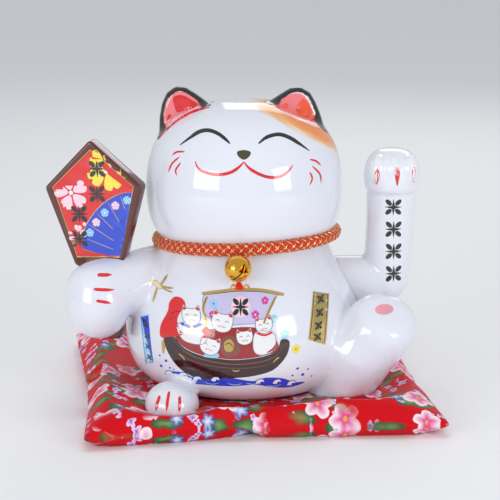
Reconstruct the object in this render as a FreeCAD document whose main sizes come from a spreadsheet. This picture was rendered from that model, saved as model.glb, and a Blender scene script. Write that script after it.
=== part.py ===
import FreeCAD, Part
import math
import os
import re
from types import SimpleNamespace

from FreeCAD import Placement, Rotation, Vector

# A glazed ceramic lucky cat with a battery-driven waving arm, sitting on a printed satin cushion.
# Millimetres.  +Z is up and the cat looks along -Y.  The origin lies on the flat underside of the
# cushion, under the cat's own axis.

X = Vector(1, 0, 0)
Y = Vector(0, 1, 0)
Z = Vector(0, 0, 1)

DRIVING_SIZES = {
    # cushion
    "cushion_side": 281, "cushion_thick": 20, "cushion_corner": 22, "cushion_edge": 9,
    "cover_thick": 1, "seat_clear": 0.5, "seat_radius": 68.5, "sink_level": 14,
    # ceramic casting
    "wall": 5, "neck_low": 110, "neck_tall": 36, "neck_radius": 56,
    "opening_radius": 52, "rebate_radius": 56.4, "rebate_deep": 2.8,
    "ear_thick": 17, "ear_round": 6, "ear_corner": 7, "paw_radius": 26.5, "sleeve_radius": 24,
    "leg_root_radius": 30, "sole_radius": 26.5, "sole_round": 8, "foot_radius": 22.5,
    "socket_radius": 20.2, "socket_floor": 70, "boss_wall": 5, "boss_back": 6,
    # wish tablet
    "tablet_thick": 15, "tablet_half": 39.5, "tablet_tall": 159, "stem_half": 14,
    "rim_wide": 6.5, "panel_deep": 2, "tablet_round": 3, "tablet_fit": 0.2,
    # collar and bell
    "collar_radius": 70.3, "cord_radius": 5.35, "crease_clear": 0.1, "knot_radius": 8, "tail_radius": 3,
    "bell_radius": 10.3, "bell_wall": 0.6, "bell_seam": 0.45, "slit_wide": 1.1, "eye_radius": 2.4,
    "loop_radius": 2, "loop_wire": 0.5, "tie_radius": 4, "tie_wire": 0.45, "tie_room": 0.9,
    "pellet_radius": 2.4,
    # base tray, battery bay and switch
    "tray_radius": 56, "flange_thick": 2.4, "bay_wide": 31, "bay_long": 57, "bay_tall": 17.2,
    "bay_wall": 1.5,
    "grip_long": 16, "grip_wide": 1, "grip_run": 10, "door_thick": 1.4, "door_wide": 35, "door_long": 62,
    "door_travel": 6, "door_fit": 0.3,
    "cell_radius": 7.25, "cell_long": 49, "nub_radius": 2.75, "nub_long": 1.5, "contact_thick": 0.4,
    "spring_wide": 8, "spring_sheet": 0.35, "screw_radius": 1.5, "screw_head": 3, "screw_head_tall": 1.3,
    "screw_long": 6.2, "dog_long": 16, "dog_wide": 9, "dog_thick": 3,
    "knob_long": 5, "knob_wide": 4.8, "knob_tall": 4, "switch_travel": 4, "switch_fit": 0.3,
    "switch_long": 16, "switch_wide": 9, "switch_tall": 6,
    # drive
    "axle_y": 8, "axle_z": 92, "shaft_radius": 1.5, "shaft_long": 101, "bore_fit": 0.05,
    "post_thick": 3, "post_wide": 24, "post_foot": 13.5, "tie_bar_wide": 10, "post_top": 103,
    "frame_bite": 1.6,
    "bush_radius": 3, "shoulder_bush": 4, "bush_flange": 6, "bush_flange_thick": 1,
    "lever_thick": 2.5, "lever_wide": 9, "lever_hub": 6, "lever_hub_thick": 8, "lever_drop": 51.5,
    "weight_radius": 12, "weight_thick": 9, "weight_drop": 35, "rivet_radius": 2, "rivet_head": 3.5,
    "magnet_radius": 5, "magnet_thick": 3, "foot_block": 13, "foot_block_tall": 4,
    "coil_radius": 12, "coil_tall": 5, "coil_core": 4, "coil_flange": 0.8, "coil_gap": 0.5,
    "board_long": 27, "board_wide": 18, "board_thick": 1.6, "clip_thick": 0.6, "clip_radius": 3.4,
    # waving arm
    "arm_radius": 19.4, "arm_start": 71.5, "elbow_x": 114, "elbow_radius": 19.6,
    "arm_paw_wide": 21.3, "arm_paw_deep": 23.5, "arm_paw_tall": 20, "shell_thick": 1.8,
    "hub_flange": 17.4, "hub_flange_thick": 3, "hub_boss": 7, "hub_long": 19,
    "grub_radius": 1.5, "grub_long": 5.5, "grub_step": 12,
}

# Outlines that turn about a vertical axis, as radius and level: ends and middles of joined arcs.
TORSO_OUTLINE = ((68, 14), (88, 28), (95, 50), (93, 80), (79, 102), (72, 117), (64, 131))
HEAD_OUTLINE = ((62, 122), (75.5, 143), (78.2, 165), (74, 197), (54, 225), (32, 235.5), (9, 238))

CUSHION_CENTRE = Vector(3.5, 10, 0)
CUSHION_TURN = Rotation(Z, 6.8)
HEAD_X = 1.2
HEAD_MIDDLE = 180
LEFT_SHOULDER = Vector(-60, -8, 101)
LEFT_PAW = Vector(-113, -42, 94)
LEG_ROOT = Vector(80, -34, 32)
SOLE_CENTRE = Vector(112, -62, 86)
SOLE_FACING = Vector(0.2, -0.5, 0.84)
FOOT_CENTRE = Vector(-52, -84, 24)
EAR_FRONT_Y = -4
EARS = {
    "EarLeft": ((-51.5, 252.5), (-71, 196), (-12, 226)),
    "EarRight": ((47, 251.5), (67, 200), (10, 228)),
}
TABLET_FOOT = Vector(-107.7, -28, 54)    # middle of the stem's lower end
TABLET_TURN = Rotation(Z, -15).multiply(Rotation(Y, -3.3))
SHOULDER_SHARE = 0.767                   # heights on the tablet, as shares of its whole height
CORNER_SHARE = 0.371
CORNER_HALF_SHARE = 0.506
COLLAR_PLACE = Placement(Vector(2.8, 0, 131.2), Rotation(Y, -2.7).multiply(Rotation(X, -3.25)))
BELL_CENTRE = Vector(-3.5, -82.5, 123.4)
BELL_UP = Vector(0.61, 0.184, 0.768)     # from the bell's middle to its loop
BELL_EYE = Vector(0.38, -0.92, 0.03)     # from the bell's middle to the hole at one end of its slit
TIE_OUT = Vector(0, -1, -1)              # from the tie's middle to the bell's loop
DRIVE_X = 10                             # plane in which the pendulum swings
KNOT_TAIL = Vector(8, 12, -26)           # the right-hand tail from its root to its end
KNOT_TAIL_ROOT = Vector(3, 0, -3)
SCREW_CIRCLE = 46.5
SCREW_ANGLES = (60, 180, 300)
SWITCH_AT = (-26, -22)
BOARD_Y = -18
CAPACITORS_X = (-9.5, 9.5)
GRIP_FROM_END = 4
WRIST = Vector(118.5, 5.5, 176)
ARM_PAW = Vector(118, 3, 179)

os.makedirs("parts", exist_ok=True)
doc = FreeCAD.newDocument("LuckyCat")
sheet = doc.addObject("Spreadsheet::Sheet", "Sizes")
for row, (alias, number) in enumerate(DRIVING_SIZES.items(), start=1):
    sheet.set(f"A{row}", alias)
    sheet.set(f"B{row}", str(number))
    sheet.setAlias(f"B{row}", alias)
doc.recompute()
dim = SimpleNamespace(**{alias: float(sheet.get(alias)) for alias in DRIVING_SIZES})

nodes = []


def bind(thing, **formulas):
    """Tie properties to formulas over the sheet's names."""
    for prop, formula in formulas.items():
        thing.setExpression(prop, re.sub(r"([a-z][a-z_]*)", r"Sizes.\1", formula))
    return thing


def at(x, y, z, along=Z):
    return Placement(Vector(x, y, z), Rotation(Z, along))


def add(kind, name, placement, **formulas):
    """A Part primitive whose sizes follow the sheet."""
    thing = bind(doc.addObject("Part::" + kind, name), **formulas)
    thing.Placement = placement
    return thing


def tube(name, start, radius, length, along=Z):
    """A cylinder from a point along a direction."""
    return add("Cylinder", name, at(*start, along), Radius=radius, Height=length)


def block(name, middle, low_z, length, width, height):
    """A box centred on a point in plan and standing on a level."""
    box = add("Box", name, at(0, 0, 0), Length=length, Width=width, Height=height)
    doc.recompute()
    box.Placement = at(middle[0] - box.Length.Value / 2, middle[1] - box.Width.Value / 2, low_z)
    return box


def rod(name, start, end, radius):
    """A cylinder between two points."""
    bar = add("Cylinder", name, at(*start, end - start), Radius=radius)
    bar.Height = (end - start).Length
    return bar


def shaped(name, shape):
    """A piece whose shape no primitive or sketch fits."""
    thing = doc.addObject("Part::Feature", name)
    thing.Shape = shape
    return thing


def fuse(name, *pieces):
    made = doc.addObject("Part::MultiFuse", name)
    made.Shapes = list(pieces)
    return made


def cut(name, base, *tools):
    made = doc.addObject("Part::Cut", name)
    made.Base = base
    made.Tool = tools[0] if len(tools) == 1 else fuse(name + "Tools", *tools)
    return made


def common(name, base, tool):
    made = doc.addObject("Part::Common", name)
    made.Base = base
    made.Tool = tool
    return made


def group(name, *pieces):
    """Separate solids that make one node."""
    made = doc.addObject("Part::Compound", name)
    made.Links = list(pieces)
    return made


def node(thing, label):
    """Name a finished sub-part; its label is also its file's name."""
    thing.Label = label
    nodes.append(thing)
    return thing


def turned(outline, grow=0.0):
    """A solid of revolution about Z whose side is a run of three-point arcs, moved out by grow."""
    points = [Vector(max(radius + grow, 0), 0, level) for radius, level in outline]
    sides = [Part.Arc(*points[index:index + 3]).toShape() for index in range(0, len(points) - 2, 2)]
    corners = [points[-1], Vector(0, 0, points[-1].z), Vector(0, 0, points[0].z), points[0]]
    closing = [Part.makeLine(first, second) for first, second in zip(corners, corners[1:])
               if (second - first).Length > 1e-6]
    return Part.Face(Part.Wire(sides + closing)).revolve(Vector(0, 0, 0), Z, 360)


def rounded_outline(points, radius):
    """Tangent arcs and straight runs round a closed polygon."""
    curves = []
    ends = []
    for index, corner in enumerate(points):
        back = (points[index - 1] - corner).normalize()
        ahead = (points[(index + 1) % len(points)] - corner).normalize()
        half_angle = back.getAngle(ahead) / 2
        reach = radius / math.tan(half_angle)
        middle = (back + ahead).normalize() * (radius / math.sin(half_angle) - radius)
        curves.append(Part.Arc(corner + back * reach, corner + middle, corner + ahead * reach))
        ends.append((corner + back * reach, corner + ahead * reach))
    for index, (_, leaving) in enumerate(ends):
        curves.append(Part.LineSegment(leaving, ends[(index + 1) % len(ends)][0]))
    return curves


def closed_lines(points):
    return [Part.LineSegment(points[index - 1], corner) for index, corner in enumerate(points)]


def rectangle(low_x, low_y, high_x, high_y):
    return closed_lines([Vector(low_x, low_y, 0), Vector(high_x, low_y, 0), Vector(high_x, high_y, 0),
                         Vector(low_x, high_y, 0)])


def flat_face(curves):
    return Part.Face(Part.Wire(Part.__sortEdges__([curve.toShape() for curve in curves])))


def sketch_on(body, plane, name, curves, lift=0.0):
    """A sketch on one of the body's own origin planes, lifted along its normal."""
    sketch = body.newObject("Sketcher::SketchObject", name)
    support = next(feature for feature in body.Origin.OriginFeatures if feature.Role == plane)
    sketch.AttachmentSupport = (support, "")
    sketch.MapMode = "FlatFace"
    sketch.AttachmentOffset = at(0, 0, lift)
    sketch.addGeometry(curves, False)
    return sketch


def body_feature(body, kind, name, sketch, **formulas):
    made = body.newObject("PartDesign::" + kind, name)
    made.Profile = sketch
    return bind(made, **formulas)


def must_shrink(before, after):
    if after.Shape.Volume >= before - 1e-3:
        raise RuntimeError(after.Name + " removes nothing")


# ---- forms of the cat ----------------------------------------------------------------------------

base_z = dim.sink_level
flange_top = base_z + dim.rebate_deep
flange_low = flange_top - dim.flange_thick
axle = Vector(0, dim.axle_y, dim.axle_z)
leg_along = (SOLE_CENTRE - LEG_ROOT).normalize()
leg_reach = (SOLE_CENTRE - LEG_ROOT).Length


def torso(name, grow=0.0):
    return shaped(name, turned(TORSO_OUTLINE, grow))


def head(name, grow=0.0):
    """The head, or its hollow, which keeps the crown as thick as the sides."""
    crown = dim.wall if grow else 0
    outline = [(radius, level - crown if level > HEAD_MIDDLE else level) for radius, level in HEAD_OUTLINE]
    made = shaped(name, turned(outline, grow))
    made.Placement.Base = Vector(HEAD_X, 0, 0)
    return made


def ear(name, corners):
    """A rounded triangular plate standing on the head, soft along both faces."""
    outline = rounded_outline([Vector(x, EAR_FRONT_Y, z) for x, z in corners], dim.ear_corner)
    plate = flat_face(outline).extrude(Y * dim.ear_thick)
    rims = [edge for edge in plate.Edges if edge.BoundBox.YLength < 1e-6]
    return shaped(name, plate.makeFillet(dim.ear_round, rims))


def leg_cone(grow=0.0):
    return Part.makeCone(dim.leg_root_radius + grow, dim.sole_radius + grow, leg_reach + dim.sole_radius,
                         LEG_ROOT,
                         leg_along)


def leg():
    """The stub leg: a cone cut off at the raised sole, with a soft rim."""
    facing = Vector(SOLE_FACING).normalize()
    stub = leg_cone().cut(Part.makeCylinder(leg_reach * 2, leg_reach * 2, SOLE_CENTRE, facing))
    rims = [edge for edge in stub.Edges if abs((edge.CenterOfMass - SOLE_CENTRE).dot(facing)) < 1e-3]
    return shaped("LegStub", stub.makeFillet(dim.sole_round, rims))


def foot(name, grow=""):
    """The front foot, or the room it needs, as a dome lying beside the belly."""
    return add("Sphere", name, at(*FOOT_CENTRE), Radius="foot_radius" + grow)


def below(name, level):
    """Everything lower than a level."""
    return block(name, (0, 0), level - dim.cushion_side, "2 * cushion_side", "2 * cushion_side",
                 "cushion_side")


def seat_room(name, clear, foot_grow, floor_radius, floor_z):
    """The hollow the cat sits in, down to a level."""
    forms = fuse(name + "Forms", torso(name + "Torso", clear), foot(name + "Foot", foot_grow),
                 shaped(name + "Leg", leg_cone(clear)),
                 tube(name + "Floor", (0, 0, floor_z), floor_radius, "2 * cover_thick"))
    return cut(name, forms, below(name + "Below", floor_z))


# ---- cushion -------------------------------------------------------------------------------------

def pillow_block(name, inset, low_z):
    """The cushion's rounded square block, turned as it lies under the cat."""
    side = "cushion_side - 2 * " + inset
    square = block(name + "Square", (0, 0), 0, side, side, "cushion_thick - 2 * " + inset)
    square.Placement = Placement(CUSHION_CENTRE + Z * low_z, CUSHION_TURN).multiply(square.Placement)
    doc.recompute()
    uprights = [index for index, edge in enumerate(square.Shape.Edges, start=1) if edge.BoundBox.ZLength > 1]
    posts = doc.addObject("Part::Fillet", name + "Posts")
    posts.Base = square
    posts.Edges = [(index, dim.cushion_corner, dim.cushion_corner) for index in uprights]
    doc.recompute()
    rims = [index for index, edge in enumerate(posts.Shape.Edges, start=1) if edge.BoundBox.ZLength < 1e-6]
    soft = doc.addObject("Part::Fillet", name)
    soft.Base = posts
    round_by = dim.cushion_edge - low_z
    soft.Edges = [(index, round_by, round_by) for index in rims]
    return soft


cover_block = pillow_block("CoverBlock", "0", 0)
filling_block = pillow_block("FillingBlock", "cover_thick", dim.cover_thick)
filling = cut("Filling", filling_block,
              seat_room("FillingSeat", dim.seat_clear + dim.cover_thick, " + seat_clear + cover_thick",
                        "seat_radius + 2 * cover_thick", base_z - dim.cover_thick))
cover = cut("Cover", cover_block, seat_room("CoverSeat", dim.seat_clear, " + seat_clear", "seat_radius",
                                            base_z),
            filling)
node(cover, "cushion_cover")
node(filling, "cushion_filling")

# ---- ceramic casting -----------------------------------------------------------------------------

outer = fuse("OuterForm", torso("Torso"), head("Head"), rod("Sleeve", LEFT_SHOULDER, LEFT_PAW,
                                                            "sleeve_radius"),
             add("Sphere", "Paw", at(*LEFT_PAW), Radius="paw_radius"), leg(), foot("Foot"),
             *[ear(name, corners) for name, corners in EARS.items()])
cavity = fuse("Cavity",
              cut("TorsoRoom", torso("TorsoHollow", -dim.wall),
                  tube("FloorKept", (0, 0, base_z - 1), "seat_radius * 2", "wall + 1"),
                  tube("ShouldersKept", (0, 0, dim.neck_low), "seat_radius * 2", "neck_tall")),
              cut("HeadRoom", head("HeadHollow", -dim.wall),
                  tube("ChinKept", (0, 0, dim.neck_low), "seat_radius * 2", "neck_tall")),
              tube("NeckRoom", (0, 0, dim.neck_low - dim.wall), "neck_radius", "neck_tall + 2 * wall"),
              rod("LegRoom", LEG_ROOT - leg_along * dim.wall * 2,
                  SOLE_CENTRE - leg_along * (dim.sole_round + dim.wall * 2), "sole_radius - wall"))
boss = common("ShoulderBoss",
              tube("BossRod", (dim.socket_floor - dim.boss_back, axle.y, axle.z),
                   "socket_radius + boss_wall",
                   "wall * 6", X),
              torso("TorsoTrim"))
walls = fuse("Walls", cut("HollowForm", outer, cavity), boss)


def tablet_outline(grow=0.0):
    """A roofed board on a short stem, from the stem's foot upward."""
    corner_half = dim.tablet_half * CORNER_HALF_SHARE + grow
    corner_up = dim.tablet_tall * CORNER_SHARE - grow
    right = [(dim.stem_half + grow, -grow), (dim.stem_half + grow, corner_up), (corner_half, corner_up),
             (dim.tablet_half + grow, dim.tablet_tall * SHOULDER_SHARE)]
    left = [(-across, up) for across, up in reversed(right)]
    return [Vector(across, up, 0) for across, up in right + [(0, dim.tablet_tall + grow)] + left]


tablet_place = Placement(TABLET_FOOT, TABLET_TURN)
room_thick = dim.tablet_thick + 2 * dim.tablet_fit
room = flat_face(rounded_outline(tablet_outline(dim.tablet_fit), dim.tablet_round)).extrude(Z * room_thick)
room.translate(Z * (-room_thick / 2))
room.rotate(Vector(0, 0, 0), X, 90)
tablet_room = shaped("TabletRoom", room)
tablet_room.Placement = tablet_place.multiply(tablet_room.Placement)

crease = cut("NeckCrease",
             tube("CreaseBand", (0, 0, 0), "collar_radius + 5 * cord_radius",
                  "2 * cord_radius + 2 * crease_clear"),
             tube("NeckKept", (0, 0, 0), "collar_radius - cord_radius - crease_clear", "5 * cord_radius"))
crease.Placement = COLLAR_PLACE.multiply(at(0, 0, -dim.cord_radius - dim.crease_clear))

casting = cut("Casting", walls,
              below("BelowBase", base_z),
              tube("Socket", (dim.socket_floor, axle.y, axle.z), "socket_radius", "wall * 9", X),
              tube("BushHole", (dim.socket_floor - dim.boss_back * 2, axle.y, axle.z), "shoulder_bush",
                   "wall * 4", X),
              tube("BaseOpening", (0, 0, base_z - 1), "opening_radius", "wall + 2"),
              tube("BaseRebate", (0, 0, base_z - 1), "rebate_radius", "rebate_deep + 1"),
              tablet_room, crease)
node(casting, "ceramic_casting")

# ---- wish tablet ---------------------------------------------------------------------------------

tablet = doc.addObject("PartDesign::Body", "Tablet")
half_thick = dim.tablet_thick / 2
board_sketch = sketch_on(tablet, "XZ_Plane", "BoardSketch", rounded_outline(tablet_outline(),
                                                                            dim.tablet_round),
                         -half_thick)
board = body_feature(tablet, "Pad", "TabletBoard", board_sketch, Length="tablet_thick")
doc.recompute()
whole_board = board.Shape.Volume
panel_right = [(dim.tablet_half * CORNER_HALF_SHARE - dim.rim_wide * 0.7,
                dim.tablet_tall * CORNER_SHARE + dim.rim_wide),
               (dim.tablet_half - dim.rim_wide, dim.tablet_tall * SHOULDER_SHARE - dim.rim_wide / 2)]
panel_left = [(-across, up) for across, up in reversed(panel_right)]
panel_points = panel_right + [(0, dim.tablet_tall - dim.rim_wide * 1.3)] + panel_left
panel_sketch = sketch_on(tablet, "XZ_Plane", "PanelSketch",
                         rounded_outline([Vector(x, up, 0) for x, up in panel_points], dim.tablet_round),
                         half_thick)
panel = body_feature(tablet, "Pocket", "TabletPanel", panel_sketch, Length="panel_deep")
doc.recompute()
must_shrink(whole_board, panel)
face_edges = [f"Edge{index}" for index, edge in enumerate(panel.Shape.Edges, start=1)
              if edge.BoundBox.YLength < 1e-6 and abs(abs(edge.BoundBox.YMin) - half_thick) < 1e-6]
soft_rim = tablet.newObject("PartDesign::Fillet", "TabletSoftRim")
soft_rim.Base = (panel, face_edges)
bind(soft_rim, Radius="tablet_round * 0.6")
tablet.Tip = soft_rim
tablet.Placement = tablet_place
node(tablet, "wish_tablet")

# ---- collar, tie and bell ------------------------------------------------------------------------

ring = add("Torus", "CordRing", COLLAR_PLACE, Radius1="collar_radius", Radius2="cord_radius")
bell_up = Vector(BELL_UP).normalize()
loop_centre = BELL_CENTRE + bell_up * (dim.bell_radius + dim.loop_radius - dim.loop_wire / 2)
tie_out = Vector(TIE_OUT).normalize()
tie_centre = loop_centre - tie_out * dim.tie_radius
tie_along = X.cross(tie_out)
loop_facing = (tie_along - bell_up * tie_along.dot(bell_up)).normalize()
tie_channel = add("Torus", "TieChannel", at(*tie_centre, X), Radius1="tie_radius",
                  Radius2="tie_room")
cord = cut("CollarCord", ring, tie_channel)
node(cord, "collar_cord")

knot_centre = COLLAR_PLACE.multVec(Y * (dim.collar_radius + dim.cord_radius * 1.6))
knot_ball = add("Sphere", "KnotBall", at(*knot_centre), Radius="knot_radius")
tails = []
for side in (-1, 1):
    tail_top = knot_centre + Vector(side * KNOT_TAIL_ROOT.x, KNOT_TAIL_ROOT.y, KNOT_TAIL_ROOT.z)
    tail_end = tail_top + Vector(side * KNOT_TAIL.x, KNOT_TAIL.y, KNOT_TAIL.z)
    tails.append(rod(f"Tail{len(tails)}", tail_top, tail_end, "tail_radius"))
knot = cut("CollarKnot", fuse("KnotForm", knot_ball, *tails),
           add("Torus", "CordThrough", COLLAR_PLACE, Radius1="collar_radius", Radius2="cord_radius"))
node(knot, "collar_knot")

tie = add("Torus", "BellTie", at(*tie_centre, X), Radius1="tie_radius", Radius2="tie_wire")
node(tie, "bell_tie")

bell_place = at(*BELL_CENTRE, bell_up)
slit_x = (BELL_EYE - bell_up * BELL_EYE.dot(bell_up)).normalize()
slit_plane = Placement(BELL_CENTRE, Rotation(slit_x, bell_up.cross(slit_x), bell_up, "ZXY"))
bell_ball = fuse("BellBall", add("Sphere", "BellOuter", bell_place, Radius="bell_radius"),
                 add("Torus", "BellSeam", bell_place, Radius1="bell_radius", Radius2="bell_seam"))
slit_corner = at(-dim.bell_radius * 1.2, -dim.slit_wide / 2, -dim.bell_radius * 1.2)
slit = add("Box", "BellSlit", slit_plane.multiply(slit_corner), Length="bell_radius * 2.4", Width="slit_wide",
           Height="bell_radius * 1.2")
eyes = [tube(f"BellEye{index}", BELL_CENTRE, "eye_radius", "bell_radius * 1.2", slit_x * side)
        for index, side in enumerate((-1, 1))]
bell = cut("BellShell", bell_ball, add("Sphere", "BellInner", bell_place,
                                       Radius="bell_radius - bell_wall"), slit,
           *eyes)
node(bell, "bell_shell")
loop_ring = add("Torus", "LoopRing", at(*loop_centre, loop_facing), Radius1="loop_radius",
                Radius2="loop_wire")
node(cut("BellLoop", loop_ring, add("Sphere", "LoopSeat", bell_place, Radius="bell_radius")), "bell_loop")
pellet_drop = dim.bell_radius - dim.bell_wall - dim.pellet_radius - 0.15
node(add("Sphere", "Pellet", at(*(BELL_CENTRE - Z * pellet_drop)), Radius="pellet_radius"), "bell_pellet")

# ---- base tray, batteries and switch -------------------------------------------------------------

bay = (DRIVE_X, 0)
housing_top = flange_top + dim.bay_tall
flange = tube("Flange", (0, 0, flange_low), "tray_radius", "flange_thick")
housing = block("BayHousing", bay, flange_low, "bay_wide + 2 * bay_wall", "bay_long + 2 * bay_wall",
                "bay_tall + flange_thick")
bay_room = block("BayRoom", bay, flange_low - 1, "bay_wide", "bay_long",
                 "bay_tall + flange_thick - bay_wall + 1")
door_y = dim.door_travel / 2
door_rebate = block("DoorRebate", (DRIVE_X, door_y), flange_low - 1, "door_wide + 2 * door_fit",
                    "door_long + door_travel + 2 * door_fit", "door_thick + door_fit + 1")
knob_slot = block("KnobSlot", SWITCH_AT, flange_low - 1, "knob_long + switch_travel + 2 * switch_fit",
                  "knob_wide + 2 * switch_fit", "flange_thick + 2")
screw_spots = [Vector(SCREW_CIRCLE * math.cos(math.radians(angle)),
                      SCREW_CIRCLE * math.sin(math.radians(angle)), 0)
               for angle in SCREW_ANGLES]
screw_cuts = []
for index, spot in enumerate(screw_spots):
    screw_cuts.append(tube(f"ScrewHole{index}", (spot.x, spot.y, flange_low - 1), "screw_radius",
                           "flange_thick + 2"))
    screw_cuts.append(tube(f"HeadSink{index}", (spot.x, spot.y, flange_low - 1), "screw_head + door_fit",
                           "screw_head_tall + 1"))

post_xs = (DRIVE_X - dim.bay_wide / 2 - dim.bay_wall - dim.post_thick,
           DRIVE_X + dim.bay_wide / 2 + dim.bay_wall)
foot_screw_spots = []
for side, post_x in zip((-1, 1), post_xs):
    for across in (-1, 1):
        foot_screw_spots.append((post_x + dim.post_thick / 2 + side * dim.post_foot / 2,
                                 axle.y + across * dim.post_wide / 3))
frame_holes = [tube(f"FrameHole{index}", (*spot, flange_top - dim.frame_bite), "screw_radius * 0.8", "wall")
               for index, spot in enumerate(foot_screw_spots)]
tray = cut("Tray", fuse("TrayForm", flange, housing), bay_room, door_rebate, knob_slot, *screw_cuts,
           *frame_holes)
node(tray, "base_tray")

screws = []
dogs = []
for index, spot in enumerate(screw_spots):
    outward = Rotation(Z, SCREW_ANGLES[index])
    shank_low = flange_low + dim.screw_head_tall
    screws.append(fuse(f"Screw{index}",
                       tube(f"ScrewHead{index}", (spot.x, spot.y, flange_low), "screw_head",
                            "screw_head_tall"),
                       tube(f"ScrewShank{index}", (spot.x, spot.y, shank_low), "screw_radius",
                            "screw_long")))
    bar = block(f"DogBar{index}", (0, 0), 0, "dog_long", "dog_wide", "dog_thick")
    bar.Placement = Placement(Vector(spot.x, spot.y, base_z + dim.wall), outward).multiply(
        at(-dim.dog_wide / 2, -dim.dog_wide / 2, 0))
    pillar = tube(f"DogPillar{index}", (spot.x, spot.y, flange_top), "dog_wide / 2",
                  "wall - rebate_deep + 1")
    hole = tube(f"DogHole{index}", (spot.x, spot.y, flange_low), "screw_radius", "wall * 3")
    dogs.append(cut(f"Dog{index}", fuse(f"DogForm{index}", bar, pillar), hole))
node(group("BaseScrews", *screws), "base_screws")
node(group("ClampDogs", *dogs), "clamp_dogs")

door = doc.addObject("PartDesign::Body", "Door")
half_wide = dim.door_wide / 2
half_long = dim.door_long / 2
door_sketch = sketch_on(door, "XY_Plane", "DoorSketch", rectangle(-half_wide, -half_long, half_wide,
                                                                  half_long))
door_pad = body_feature(door, "Pad", "DoorPlate", door_sketch, Length="door_thick")
doc.recompute()
plain_door = door_pad.Shape.Volume
grip_y = GRIP_FROM_END - half_long
grip_line = sketch_on(door, "XY_Plane", "GripSketch",
                      rectangle(-dim.grip_long / 2, grip_y, dim.grip_long / 2, grip_y + dim.grip_wide))
grip = body_feature(door, "Pocket", "GripGroove", grip_line, Length="door_thick / 3")
grip.Reversed = True
doc.recompute()
must_shrink(plain_door, grip)
grips = door.newObject("PartDesign::LinearPattern", "GripGrooves")
grips.Originals = [grip]
grips.Direction = (grip_line, ["V_Axis"])
bind(grips, Length="grip_run")
grips.Occurrences = 5
door.Tip = grips
door.Placement = at(DRIVE_X, 0, flange_low)
node(door, "battery_door")

cell_low = flange_low + dim.door_thick + dim.door_fit + dim.door_fit
cells = []
for side in (-1, 1):
    cell_x = DRIVE_X + side * (dim.cell_radius + dim.door_fit)
    start_y = side * (dim.cell_long + dim.nub_long) / 2
    middle_z = cell_low + dim.cell_radius
    can = tube(f"CellCan{len(cells)}", (cell_x, start_y, middle_z), "cell_radius", "cell_long", Y * -side)
    nub = tube(f"CellNub{len(cells)}", (cell_x, start_y - side * dim.cell_long, middle_z), "nub_radius",
               "nub_long",
               Y * -side)
    cells.append(fuse(f"Cell{len(cells)}", can, nub))
node(cells[0], "battery_left")
node(cells[1], "battery_right")


def leaf_spring(name, middle_x, cell_end_y, plate_y, middle_z):
    """A zigzag of springy strip between a cell's flat end and its contact plate."""
    reach = plate_y - cell_end_y
    sheet = math.copysign(dim.spring_sheet, reach)
    low_z = middle_z - dim.spring_wide / 2
    levels = [low_z + dim.spring_wide * share / 3 for share in range(4)]
    plate_side = [Vector(0, plate_y if index % 2 else cell_end_y + sheet, level) for index,
                  level in enumerate(levels)]
    cell_side = [Vector(0, plate_y - sheet if index % 2 else cell_end_y, level) for index,
                 level in enumerate(levels)]
    strip = flat_face(closed_lines(plate_side + cell_side[::-1])).extrude(X * dim.spring_wide)
    strip.translate(X * (middle_x - dim.spring_wide / 2))
    return shaped(name, strip)


plates = []
springs = []
for side in (-1, 1):
    cell_x = DRIVE_X + side * (dim.cell_radius + dim.door_fit)
    middle_z = cell_low + dim.cell_radius
    for end in (-1, 1):
        wall_y = end * dim.bay_long / 2
        plate_y = wall_y - end * dim.contact_thick / 2
        plates.append(block(f"ContactPlate{len(plates)}", (cell_x, plate_y), middle_z - dim.nub_radius * 1.5,
                            "cell_radius * 1.4", "contact_thick", "nub_radius * 3"))
    flat_end_y = side * (dim.cell_long + dim.nub_long) / 2
    plate_face_y = side * (dim.bay_long / 2 - dim.contact_thick)
    springs.append(leaf_spring(f"Spring{len(springs)}", cell_x, flat_end_y, plate_face_y, middle_z))
node(group("ContactPlates", *plates), "contact_plates")
node(group("ContactSprings", *springs), "contact_springs")

switch_case = cut("SwitchCase",
                  block("SwitchBox", SWITCH_AT, flange_top, "switch_long", "switch_wide", "switch_tall"),
                  block("SwitchRoom", SWITCH_AT, flange_top - 1,
                        "knob_long + switch_travel + 2 * switch_fit",
                        "knob_wide + 2 * switch_fit", "switch_tall - bay_wall + 1"))
node(switch_case, "switch_housing")
knob_at = (SWITCH_AT[0] - dim.switch_travel / 2, SWITCH_AT[1])
node(block("SwitchKnob", knob_at, flange_low + dim.switch_fit, "knob_long", "knob_wide", "knob_tall"),
     "switch_slider")

# ---- drive -------------------------------------------------------------------------------------------

coil_at = (DRIVE_X, axle.y, housing_top)
bobbin = cut("Bobbin",
             fuse("BobbinForm", tube("BobbinCore", coil_at, "coil_core", "coil_tall"),
                  tube("BobbinLow", coil_at, "coil_radius", "coil_flange"),
                  tube("BobbinHigh", (*coil_at[:2], housing_top + dim.coil_tall - dim.coil_flange),
                       "coil_radius",
                       "coil_flange")),
             tube("BobbinBore", coil_at, "coil_core / 2", "coil_tall"))
node(bobbin, "coil_bobbin")
winding_at = (*coil_at[:2], housing_top + dim.coil_flange)
winding = cut("Winding", tube("WindingOuter", winding_at, "coil_radius - coil_gap",
                              "coil_tall - 2 * coil_flange"),
              tube("WindingInner", winding_at, "coil_core", "coil_tall"))
node(winding, "coil_winding")

board_at = (DRIVE_X, BOARD_Y)
node(block("Board", board_at, housing_top, "board_long", "board_wide", "board_thick"), "circuit_board")
board_top = housing_top + dim.board_thick
chip = block("Chip", board_at, board_top, "board_long / 3", "board_wide / 3", "board_thick")
cans = [tube(f"Capacitor{index}", (DRIVE_X + x, BOARD_Y, board_top), "nub_radius * 0.9", "coil_tall * 0.8")
        for index, x in enumerate(CAPACITORS_X)]
node(group("BoardParts", chip, *cans), "board_components")

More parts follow.
